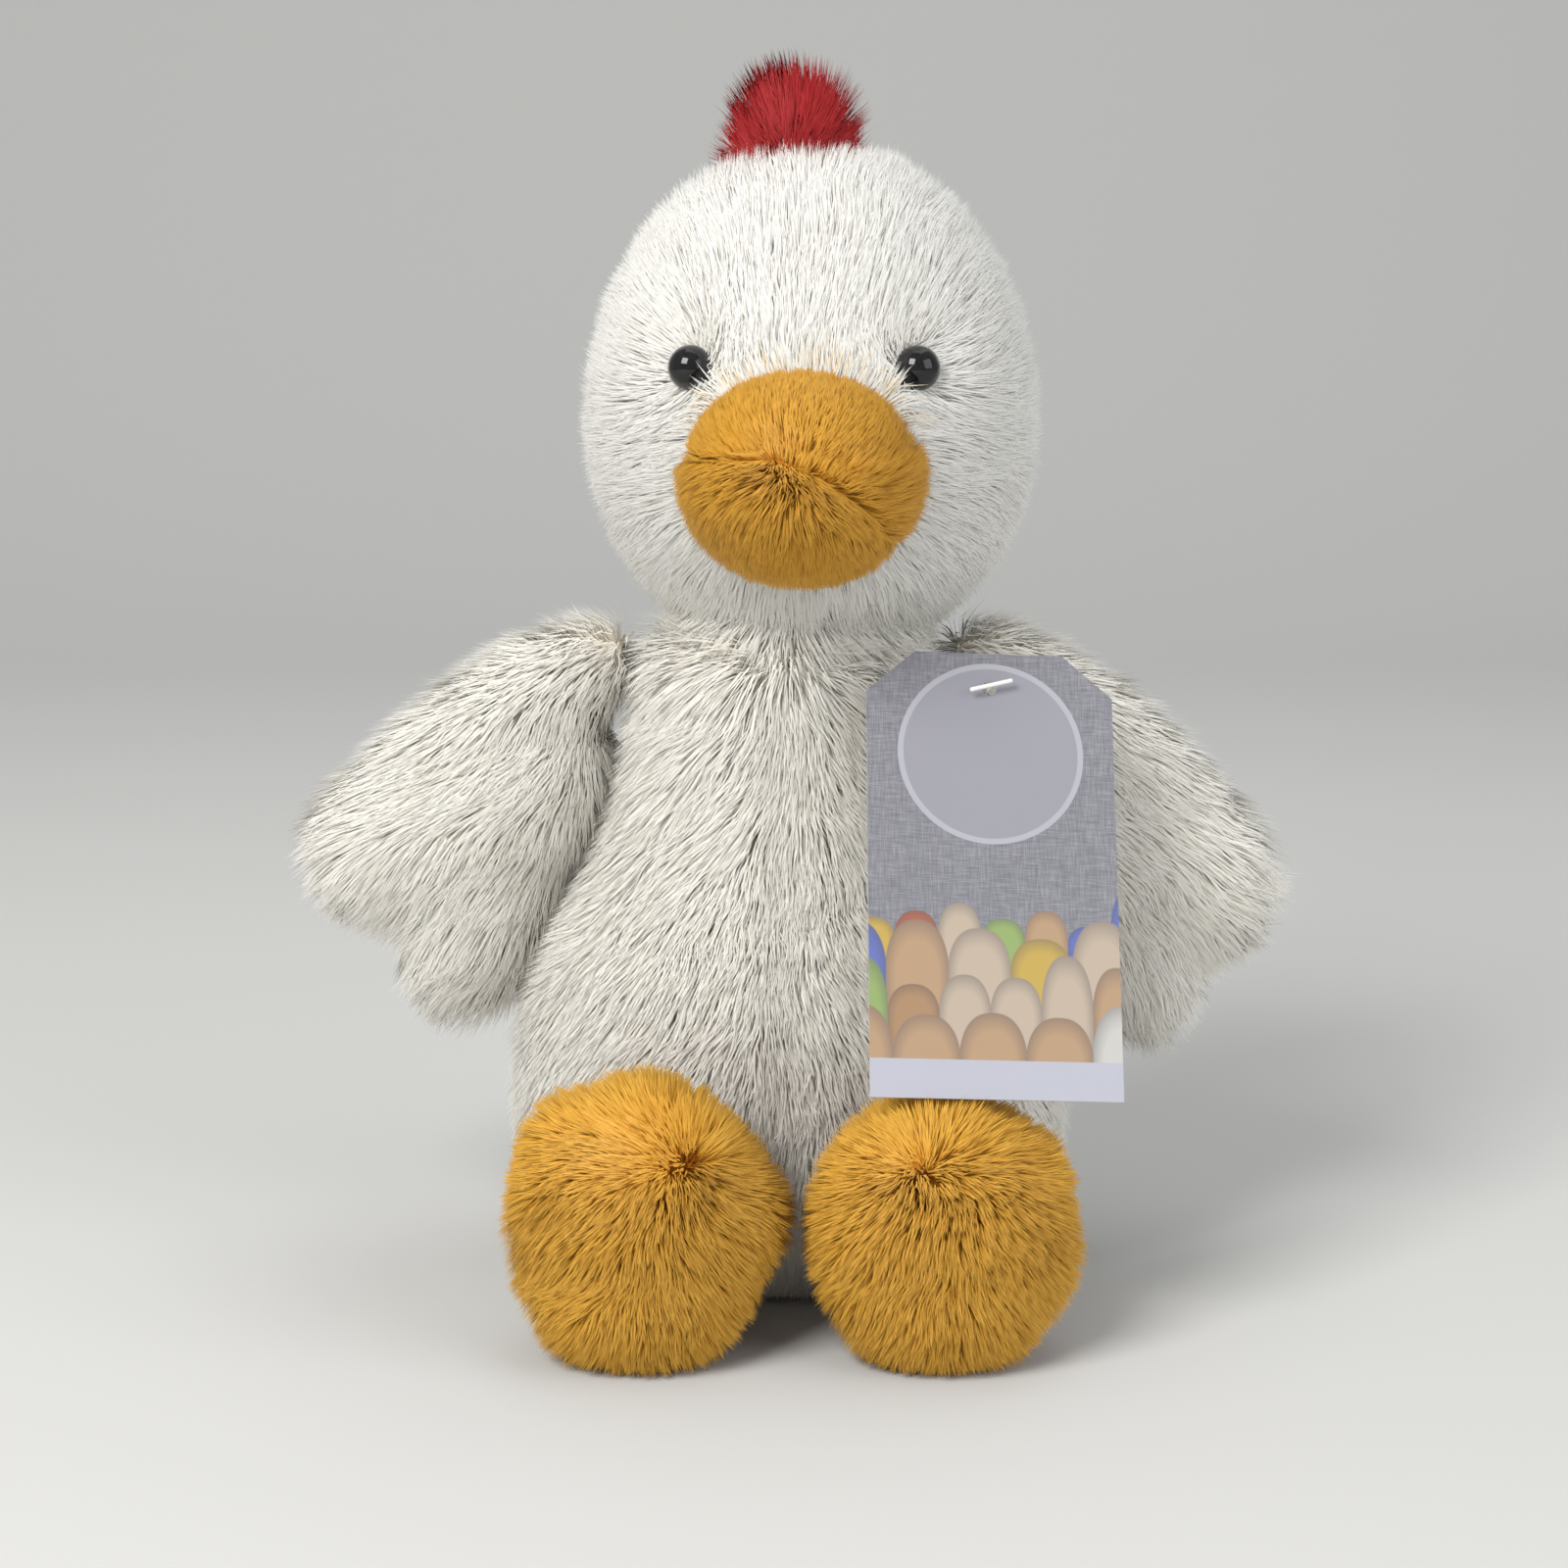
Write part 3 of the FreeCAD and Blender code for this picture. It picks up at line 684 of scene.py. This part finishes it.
# %% Colours of this toy's fur
NO_TINGE = (1.0, 1.0, 1.0)
PEACH = (1.0, 0.84, 0.62)
# each finish: root (painted shade), middle, tip (painted light), lock tint, tinge, roughness,
# sheen
FUR = {
    "head": fur_material("head_pile", (0.72, 0.69, 0.61), (0.83, 0.815, 0.765),
                         (0.885, 0.88, 0.85), (0.94, 0.935, 0.92), PEACH, 0.65, 0.05),
    "body": fur_material("body_pile", (0.82, 0.75, 0.62), (0.90, 0.87, 0.79),
                         (0.945, 0.93, 0.885), (0.95, 0.935, 0.90), NO_TINGE, 0.65, 0.1),
    "beak": fur_material("beak_pile", (0.45, 0.165, 0.008), (0.64, 0.30, 0.022),
                         (0.76, 0.41, 0.06), (0.74, 0.68, 0.56), NO_TINGE, 0.6, 0.06),
    "foot": fur_material("foot_pile", (0.46, 0.15, 0.005), (0.72, 0.34, 0.022),
                         (0.90, 0.52, 0.09), (0.74, 0.66, 0.52), NO_TINGE, 0.6, 0.06),
    "comb": fur_material("comb_pile", (0.20, 0.006, 0.008), (0.32, 0.010, 0.013),
                         (0.43, 0.022, 0.025), (0.72, 0.66, 0.66), NO_TINGE, 0.7, 0.0),
}
BACKING = {
    "head": backing_material("head_knit", (0.74, 0.71, 0.63), (0.82, 0.80, 0.73)),
    "body": backing_material("body_knit", (0.74, 0.69, 0.59), (0.82, 0.78, 0.69)),
    "beak": backing_material("beak_knit", (0.54, 0.22, 0.014), (0.62, 0.28, 0.02)),
    "foot": backing_material("foot_knit", (0.52, 0.20, 0.010), (0.62, 0.26, 0.015)),
    "comb": backing_material("comb_knit", (0.20, 0.006, 0.008), (0.28, 0.008, 0.011)),
}
print("fur finishes:", list(FUR))

# %% [markdown]
# ## Which way the pile lies
# The cutter lays the pattern so that the pile runs from the head down to the seat and from
# each shoulder to the wing tip. Stuffing then turns it: it fans away from the beak and from
# the eyes, which pull the cloth in, and falls over a foot like water over a ball.


# %% Flow over the head
def pull_from(points, centre, reach):
    """Directions away from a point, fading with distance."""
    away = points - centre
    distance = np.linalg.norm(away, axis=1, keepdims=True)
    return away / np.maximum(distance, TINY) * np.exp(-(distance / reach) ** 2)


def head_flow(points):
    """Away from the beak, round the eyes, and down at the back."""
    flow = unit(points - (BEAK_MIDDLE + [0, 12 * MM, 2 * MM]))
    for eye in EYES.values():
        flow = flow + 1.8 * pull_from(points, eye, 13 * MM)
    back = np.clip((points[:, 1] - HEAD_MIDDLE[1]) / (40 * MM), 0, 1)[:, None]
    low = np.clip((HEAD_MIDDLE[2] - points[:, 2]) / (40 * MM), 0, 1)[:, None]
    return flow + back * np.array([0, 0.2, -1.6]) + low * np.array([0, 0, -0.5])


# %% Flow over the body and wings
def body_flow(points):
    """Down from the neck and out from the middle seam."""
    sideways = np.tanh(points[:, 0] / (9 * MM))
    top = np.clip((points[:, 2] - NECK_OPENING_Z) / (40 * MM) + 1, 0, 1)
    out = (0.40 + 0.5 * top) * sideways
    return np.stack([out, np.zeros(len(points)), -np.ones(len(points))], axis=1)


def in_armpit(points, side):
    """1 at the edge of a wing that faces the body, fading outwards and up to the shoulder."""
    from_root = points - JOINT_AT[f"wing_{side}_flap"]
    low = np.clip(-from_root[:, 2] / (30 * MM) - 0.3, 0, 1)
    return low * np.exp(-(np.maximum(SIDES[side] * from_root[:, 0], 0) / (12 * MM)) ** 2)


def wing_flow(side):
    """From the shoulder to the tip of a wing, a little down, and across to the body."""
    root = JOINT_AT[f"wing_{side}_flap"] + np.array([-SIDES[side] * 34, 0, 14]) * MM

    def flow(points):
        across = in_armpit(points, side)[:, None] * [-0.8 * SIDES[side], 0, 0]
        return unit(points - root) + [0, 0, -0.3] + across
    return flow


# %% Flow over the feet, beak and comb
FOOT_WHORL = {"left": np.array([26.4, -97.0, 50.3]) * MM,
              "right": np.array([-18.0, -94.0, 46.0]) * MM}
BEAK_WHORL = np.array([-3.0, -70.0, 191.0]) * MM


def foot_flow(side):
    """Like water over a ball, from a parting high on the sole."""
    def flow(points):
        return unit(points - FOOT_WHORL[side]) + np.array([0, 0, -0.4])
    return flow


def beak_flow(points):
    """Out from the mouth: up and over above it, long and down below it."""
    away = unit(points - BEAK_WHORL)
    line_z = np.interp(points[:, 0], MOUTH_LINE[:, 0], MOUTH_LINE[:, 1])
    above = (points[:, 2] > line_z)[:, None]
    return 0.45 * away + np.where(above, [0.0, 0.3, 0.8], [0.0, 0.3, -0.8])


def comb_flow(points):
    """A fan from the root of the comb."""
    return unit(points - COMB_BASE + np.array([0, 0, 16 * MM])) * [1, 1, 1.8]


# %% [markdown]
# ## The pile of each panel
# Every sewn panel gets its own piece of pile, as it would come apart on the bench. The pile
# on head and body is long and lies down in locks. On the feet and beak it is clipped short,
# so it stands up and looks like velvet. The comb's grows longer towards its top.

# %% Styles of pile
BODY_STYLE = {"per_mm2": 5.0, "locks_per_mm2": 0.13, "width": 0.48 * MM, "cling": 0.26,
              "rise": (60, 27), "drift": 0.34}
WING_STYLE = {**BODY_STYLE, "per_mm2": 5.4, "locks_per_mm2": 0.12}
HEAD_STYLE = {**BODY_STYLE, "per_mm2": 5.4, "rise": (64, 30), "locks_per_mm2": 0.2,
              "cling": 0.34, "width": 0.42 * MM, "drift": 0.26}
FOOT_STYLE = {**BODY_STYLE, "per_mm2": 8.0, "locks_per_mm2": 0.35, "rise": (72, 50),
              "cling": 0.42, "width": 0.40 * MM, "drift": 0.5}
BEAK_STYLE = {**FOOT_STYLE, "per_mm2": 10.0, "width": 0.34 * MM, "rise": (66, 36),
              "drift": 0.25}
COMB_STYLE = {**BODY_STYLE, "per_mm2": 15.0, "locks_per_mm2": 0.3, "rise": (80, 66),
              "cling": 0.25, "width": 0.38 * MM}


def even(length):
    """The same pile length everywhere."""
    return lambda points: np.full(len(points), length)


def head_length(points):
    """Long pile, longest at the crown and chin, clipped shorter close to the eyes."""
    high = np.clip((points[:, 2] - HEAD_MIDDLE[2]) / (50 * MM), -1, 1)
    length = (11.5 + np.where(high > 0, 3.0, 4.0) * high ** 2) * MM
    for eye in EYES.values():
        near = np.exp(-(np.linalg.norm(points - eye, axis=1) / (8 * MM)) ** 2)
        length = length * (1 - 0.5 * near)
    return length


def beak_length(points):
    """Short velvet above the mouth and longer locks below it."""
    return np.where(points[:, 2] > BEAK_WHORL[2], 5.5, 7.5) * MM


def comb_length(points):
    """Short at the root of the comb and long at its top."""
    high = np.clip((points[:, 2] - COMB_BASE[2]) / (14 * MM), 0, 1)
    return (6.5 + 8.5 * high) * MM


def near_whorl(whorl, reach, most):
    """How far pile stands up around the point that it parts at."""
    return lambda points: most * np.exp(-(np.linalg.norm(points - whorl, axis=1) / reach) ** 2)


def wing_length(side):
    """Longer pile towards the tip of a wing."""
    root = JOINT_AT[f"wing_{side}_flap"]

    def length(points):
        out = np.linalg.norm(points - root, axis=1) / (90 * MM)
        return (12 + 5.5 * np.clip(out, 0, 1) ** 2 + 2.5 * in_armpit(points, side)) * MM
    return length


def body_length(points):
    """Longer pile at the shoulders, where it closes the gap to head and wings."""
    high = np.clip((points[:, 2] - 90 * MM) / (50 * MM), 0, 1)
    return (12 + 4.5 * high) * MM


# %% Head pile
def quadrant(row, side, middle):
    """Test for the quarter of a form that one panel covers."""
    sign = SIDES[side]

    def keep(points):
        front = points[:, 1] < middle[1]
        here = sign * (points[:, 0] - middle[0]) > 0
        return here & (front if row == "front" else ~front)
    return keep


def beak_gap(points):
    """Distance out from the middle of the beak's seat, where 1 is its edge."""
    low, high = (np.array(corner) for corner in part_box("beak_upper"))
    half = np.array([(high[0] - low[0]) / 2, 1.0, high[2] - BEAK_MIDDLE[2]])
    seat = (points - BEAK_MIDDLE) / half
    behind = points[:, 1] > HEAD_MIDDLE[1]
    return np.where(behind, 9.0, np.hypot(seat[:, 0], seat[:, 2]))


def clear_of_face(points):
    """Leaves the eyes and the beak's seat bare."""
    clear = beak_gap(points) > 0.8
    for eye in EYES.values():
        clear &= np.linalg.norm(points - eye, axis=1) > 3.5 * MM
    return clear


def over_beak(points):
    """Chance that a fibre is drawn peach: highest just above the beak."""
    near = np.exp(-((beak_gap(points) - 1.0) / 0.12) ** 2)
    return 0.35 * near * (points[:, 2] > BEAK_MIDDLE[2] + 10 * MM)


def finish_pile(piece, kind, ride, *nodes):
    """Finish, body and frame nodes of one piece of pile."""
    piece.data.materials.append(FUR[kind])
    if ride:
        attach(piece, ride)
    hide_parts(*nodes)


seed = 10
for row in ("front", "back"):
    for side in SIDES:
        panel = quadrant(row, side, HEAD_MIDDLE)
        piece = grow_pile(f"head_pile_{row}_{side}", head, HEAD_STYLE, head_flow, head_length,
                          lambda p, panel=panel: panel(p) & clear_of_face(p), seed, over_beak)
        finish_pile(piece, "head", "head", f"head_{row}_{side}")
        seed += 1

# %% Body pile
def body_cover(row, side):
    """Test for one panel of the body, without the seat it rests on."""
    panel = quadrant(row, side, np.zeros(3))
    return lambda points: panel(points) & (points[:, 2] > 2 * MM)


for row in ("front", "back"):
    for side in SIDES:
        piece = grow_pile(f"body_pile_{row}_{side}", body, BODY_STYLE, body_flow,
                          body_length, body_cover(row, side), seed)
        finish_pile(piece, "body", "torso", f"body_{row}_{side}")
        seed += 1

# %% Neck pile
NECK_BAND = (NECK_OPENING_Z - 3 * MM, NECK_OPENING_Z + 16 * MM)
neck_pile = grow_pile("neck_pile", neck, BODY_STYLE, body_flow, even(15 * MM),
                      lambda p: (p[:, 2] > NECK_BAND[0]) & (p[:, 2] < NECK_BAND[1]), seed)
finish_pile(neck_pile, "body", "neck")
seed += 1

# %% Beak and comb pile
BEAK_STYLE["stands"] = near_whorl(BEAK_WHORL, 9 * MM, 0.25)
MOUTH_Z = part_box("beak_upper")[0][2]
CREST_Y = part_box("comb_front")[1][1]
BEAK_ROOT_Y = BEAK_FRONT_Y + 38 * MM


def split_at(axis, value, below):
    """Test for the points on one side of a level or upright cut."""
    return lambda points: (points[:, axis] < value) == below


for name, low in (("beak_lower", True), ("beak_upper", False)):
    part = split_at(2, MOUTH_Z, low)
    piece = grow_pile(name.replace("_", "_pile_"), beak, BEAK_STYLE, beak_flow, beak_length,
                      lambda p, part=part: part(p) & (p[:, 1] < BEAK_ROOT_Y), seed)
    finish_pile(piece, "beak", "head", name)
    seed += 1
for name, front in (("comb_front", True), ("comb_back", False)):
    piece = grow_pile(name.replace("_", "_pile_"), comb, COMB_STYLE, comb_flow, comb_length,
                      split_at(1, CREST_Y, front), seed)
    finish_pile(piece, "comb", "head", name)
    seed += 1

# %% Wing and foot pile
def bend_at_shoulder(piece):
    """Bake the placement of a wing's pile or backing into its mesh."""
    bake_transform(piece)


for side in SIDES:
    for row, front in (("front", True), ("back", False)):
        piece = grow_pile(f"wing_{side}_pile_{row}", wings[side], WING_STYLE, wing_flow(side),
                          wing_length(side), split_at(1, 0.0, front), seed)
        finish_pile(piece, "body", None, f"wing_{side}_{row}")
        bend_at_shoulder(piece)
        seed += 1
    foot_style = {**FOOT_STYLE, "stands": near_whorl(FOOT_WHORL[side], 11 * MM, 0.3)}
    for row, front in (("sole", True), ("instep", False)):
        piece = grow_pile(f"foot_{side}_pile_{row}", feet[side], foot_style, foot_flow(side),
                          even(9 * MM), split_at(1, FOOT_SEAM_Y[side], front), seed)
        finish_pile(piece, "foot", f"foot_{side}", f"foot_{side}_{row}")
        seed += 1

# %% Backings ride and stand for the filling
def finish_backing(piece, kind, ride, *nodes):
    """Knit finish, body and filling of one sewn form."""
    piece.data.materials.append(BACKING[kind])
    if ride:
        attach(piece, ride)
    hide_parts(*nodes)


finish_backing(body, "body", "torso", "body_stuffing", "bean_pouch", "base_panel")
finish_backing(neck, "body", "neck", "neck_stuffing")
finish_backing(head, "head", "head", "head_stuffing")
finish_backing(beak, "beak", "head", "beak_stuffing")
finish_backing(comb, "comb", "head", "comb_stuffing")
for side in SIDES:
    finish_backing(wings[side], "body", None, f"wing_{side}_stuffing")
    bend_at_shoulder(wings[side])
    finish_backing(feet[side], "foot", f"foot_{side}", f"foot_{side}_stuffing")

# %% [markdown]
# ## Hard parts
# The eyes are glossy beads, and the card, its fastener and the hidden washers keep the
# frame's own shape, because that shape is already right. They only need better finishes.


# %% Finishes for hard parts
FINE_RELIEF = 0.05 * MM


def put_on(node, material):
    """Swap the material of a frame node."""
    obj = bpy.data.objects[node]
    obj.data.materials.clear()
    obj.data.materials.append(material)


def mottled(name, low, high, roughness, scale, strength):
    """Moulded plastic: two close tones, uneven polish and a faint relief."""
    material, tree, shader = principled(name, high, roughness[1])
    place = tree.nodes.new("ShaderNodeTexCoord")
    noise = tree.nodes.new("ShaderNodeTexNoise")
    noise.inputs["Scale"].default_value = scale
    noise.inputs["Detail"].default_value = 4
    tree.links.new(place.outputs["Object"], noise.inputs["Vector"])
    tree.links.new(ramp(tree, noise.outputs["Fac"], [(0.3, low), (0.7, high)]),
                   shader.inputs["Base Color"])
    polish(tree, shader, noise.outputs["Fac"], *roughness)
    relief(tree, shader, noise.outputs["Fac"], strength, FINE_RELIEF)
    return material, shader


bead, bead_shader = mottled("black_bead", (0.005, 0.005, 0.006), (0.012, 0.012, 0.013),
                            (0.05, 0.11), 900, 0.05)
bead_shader.inputs["Coat Weight"].default_value = 0.3
bead_shader.inputs["Coat Roughness"].default_value = 0.03
bead_shader.inputs["Specular IOR Level"].default_value = 0.3
washer, _ = mottled("washer_plastic", (0.70, 0.69, 0.65), (0.78, 0.77, 0.74), (0.35, 0.5),
                    600, 0.3)
nylon, nylon_shader = mottled("white_nylon", (0.80, 0.80, 0.79), (0.88, 0.88, 0.87),
                              (0.25, 0.4), 1500, 0.3)
nylon_shader.inputs["Subsurface Weight"].default_value = 0.2
nylon_shader.inputs["Subsurface Radius"].default_value = (MM, MM, MM)
for side in SIDES:
    put_on(f"eye_{side}", bead)
    put_on(f"eye_washer_{side}", washer)
put_on("tag_fastener", nylon)
put_on("fastener_anchor", nylon)
print("finished beads, washers and nylon")

# %% [markdown]
# ## Printed card
# The swing tag is plain card with a printed face: a grey linen ground, a paler disc inside a
# ring, a pale band along the foot and soft round shapes above it. The print is worked out in
# the card's own directions, read from the two joints the card swings on, so it stays put
# when the card lifts. Its back is bare card.


# %% Node helpers for the card
def calc(tree, operation, first, second=None):
    """One math node with sockets or numbers as its inputs."""
    node = tree.nodes.new("ShaderNodeMath")
    node.operation = operation
    for socket, value in zip(node.inputs, (first, second)):
        if value is None:
            continue
        if isinstance(value, (int, float)):
            socket.default_value = value
        else:
            tree.links.new(value, socket)
    return node.outputs["Value"]


def blend_colour(tree, factor, low, high):
    """Mix of two colours, each a socket or three numbers."""
    node = tree.nodes.new("ShaderNodeMix")
    node.data_type = "RGBA"
    tree.links.new(factor, node.inputs["Factor"])
    for socket, value in ((node.inputs["A"], low), (node.inputs["B"], high)):
        if isinstance(value, tuple):
            socket.default_value = (*value, 1)
        else:
            tree.links.new(value, socket)
    return node.outputs["Result"]


def soft_step(tree, value, start, end):
    """0 before start, 1 after end."""
    node = tree.nodes.new("ShaderNodeMapRange")
    node.inputs["From Min"].default_value = start
    node.inputs["From Max"].default_value = end
    tree.links.new(value, node.inputs["Value"])
    return node.outputs["Result"]


# %% The card's own directions
TAG_HOLE = Vector(JOINT_AT["tag_lift"])
TAG_OUT = Vector(JOINTS["tag_swing"]["axis"]).normalized()
TAG_ACROSS = -Vector(JOINTS["tag_lift"]["axis"]).normalized()
TAG_UP = TAG_ACROSS.cross(-TAG_OUT).normalized()
TO_CARD = Matrix((TAG_ACROSS, -TAG_OUT, TAG_UP))
card_mesh = bpy.data.objects["swing_tag"].data
card_points = [TO_CARD @ (v.co - TAG_HOLE) / MM for v in card_mesh.vertices]
CARD_FOOT = min(p.z for p in card_points)
CARD_HALF = max(p.x for p in card_points)
print("card foot", round(CARD_FOOT, 1), "mm, half width", round(CARD_HALF, 1), "mm")


def card_places(tree):
    """Across, out of the back, and up on the card, in millimetres from its hole."""
    place = tree.nodes.new("ShaderNodeTexCoord")
    turn = tree.nodes.new("ShaderNodeMapping")
    turn.inputs["Scale"].default_value = (1 / MM, 1 / MM, 1 / MM)
    turn.inputs["Rotation"].default_value = TO_CARD.to_euler()
    turn.inputs["Location"].default_value = -(TO_CARD @ TAG_HOLE) / MM
    tree.links.new(place.outputs["Object"], turn.inputs["Vector"])
    split = tree.nodes.new("ShaderNodeSeparateXYZ")
    tree.links.new(turn.outputs["Vector"], split.inputs["Vector"])
    return turn.outputs["Vector"], split.outputs["X"], split.outputs["Y"], split.outputs["Z"]


# %% Linen ground
def threads(tree, vector, stretch):
    """Noise drawn out along one direction, as threads are."""
    shape = tree.nodes.new("ShaderNodeMapping")
    shape.inputs["Scale"].default_value = stretch
    tree.links.new(vector, shape.inputs["Vector"])
    noise = tree.nodes.new("ShaderNodeTexNoise")
    noise.inputs["Scale"].default_value = 1.0
    noise.inputs["Detail"].default_value = 3
    tree.links.new(shape.outputs["Vector"], noise.inputs["Vector"])
    return noise.outputs["Fac"]


def linen(tree, vector):
    """Grey cloth print from threads both ways."""
    weft = threads(tree, vector, (0.25, 1, 5.0))
    warp = threads(tree, vector, (5.0, 1, 0.25))
    both = calc(tree, "MULTIPLY", calc(tree, "ADD", weft, warp), 0.5)
    return ramp(tree, both, [(0.35, (0.15, 0.15, 0.175)), (0.5, (0.21, 0.21, 0.24)),
                             (0.65, (0.31, 0.31, 0.345))]), both


# %% Soft round shapes
PASTELS = [(0.0, (0.36, 0.22, 0.12)), (0.12, (0.52, 0.51, 0.49)), (0.25, (0.12, 0.16, 0.44)),
           (0.37, (0.26, 0.36, 0.13)), (0.5, (0.42, 0.28, 0.17)), (0.62, (0.46, 0.38, 0.30)),
           (0.75, (0.38, 0.12, 0.07)), (0.87, (0.03, 0.035, 0.06)), (0.93, (0.48, 0.34, 0.08))]


def chance(tree, value, seed):
    """Random number that stays the same for each whole value."""
    noise = tree.nodes.new("ShaderNodeTexWhiteNoise")
    noise.noise_dimensions = "1D"
    tree.links.new(calc(tree, "ADD", value, seed), noise.inputs["W"])
    return noise.outputs["Value"]


ROUND_NARROWING = 1.9       # across, so that neighbours almost touch
ROUND_POWER = 2.4           # 2 is an ellipse, more is squarer
ROUND_GROWTH = 9.0          # most that chance adds to a height
ROUND_EDGE = 0.94
ROUND_SHADE = (0.10, 0.09, 0.10)


def row_of_rounds(tree, face, across, up, row):
    """One row of plain rounded shapes side by side, drawn over what lies behind it."""
    level, pitch, shift, tall = row
    place = calc(tree, "ADD", calc(tree, "DIVIDE", across, pitch), shift)
    cell = calc(tree, "FLOOR", place)
    side = calc(tree, "SUBTRACT", calc(tree, "SUBTRACT", place, cell), 0.5)
    growth = calc(tree, "MULTIPLY", chance(tree, cell, shift), ROUND_GROWTH)
    height = calc(tree, "ADD", growth, tall)
    rise = calc(tree, "DIVIDE", calc(tree, "SUBTRACT", up, level), height)
    rise = calc(tree, "MAXIMUM", rise, 0.0)
    out = calc(tree, "ABSOLUTE", calc(tree, "MULTIPLY", side, ROUND_NARROWING))
    reach = calc(tree, "ADD", calc(tree, "POWER", out, ROUND_POWER),
                 calc(tree, "POWER", rise, ROUND_POWER))
    inside = soft_step(tree, reach, 1.0, ROUND_EDGE)
    colour = ramp(tree, chance(tree, cell, shift + 7.3), PASTELS, "CONSTANT")
    rim = soft_step(tree, reach, 0.35, 1.0)
    shaded = blend_colour(tree, calc(tree, "MULTIPLY", rim, 0.55), colour, ROUND_SHADE)
    return blend_colour(tree, inside, face, shaded)


# %% The printed face
DISC_LOW = -15.0            # disc centre below the hole
DISC_RADIUS = 19.4
RING_WIDTH = 1.2
BAND_HEIGHT = 8.5
PRINT_EDGE = 0.1
ROUND_ROWS = [(25.0, 9.5, 0.30, 5.0), (17.0, 13.6, 0.75, 6.0), (8.0, 11.2, 0.10, 7.0),
              (-2.0, 14.5, 0.55, 7.0)]    # level over the band, pitch, shift, height


def card_material():
    """Card with a printed face, bare back and white core at its edges."""
    material, tree, shader = principled("printed_card", (0.2, 0.2, 0.24), 0.42)
    vector, across, depth, up = card_places(tree)
    ground, weave = linen(tree, vector)
    above = calc(tree, "SUBTRACT", up, DISC_LOW)
    away = calc(tree, "SQRT", calc(tree, "ADD", calc(tree, "MULTIPLY", across, across),
                                   calc(tree, "MULTIPLY", above, above)))
    ring = DISC_RADIUS + RING_WIDTH
    in_disc = soft_step(tree, away, DISC_RADIUS + PRINT_EDGE, DISC_RADIUS - PRINT_EDGE)
    in_ring = soft_step(tree, away, ring + PRINT_EDGE, ring)
    face = blend_colour(tree, in_ring, ground, (0.40, 0.40, 0.45))
    face = blend_colour(tree, in_disc, face, (0.29, 0.29, 0.335))
    band_top = CARD_FOOT + BAND_HEIGHT
    for level, pitch, shift, tall in ROUND_ROWS:
        face = row_of_rounds(tree, face, across, up, (band_top + level, pitch, shift, tall))
    in_band = soft_step(tree, up, band_top + PRINT_EDGE, band_top - PRINT_EDGE)
    face = blend_colour(tree, in_band, face, (0.44, 0.45, 0.52))
    is_back = soft_step(tree, depth, -0.15, -0.05)
    grain = blend_colour(tree, weave, (0.66, 0.655, 0.64), (0.76, 0.755, 0.74))
    tree.links.new(blend_colour(tree, is_back, face, grain), shader.inputs["Base Color"])
    polish(tree, shader, weave, 0.36, 0.5)
    relief(tree, shader, weave, 0.15, FINE_RELIEF)
    return material


put_on("swing_tag", card_material())
print("printed the card")
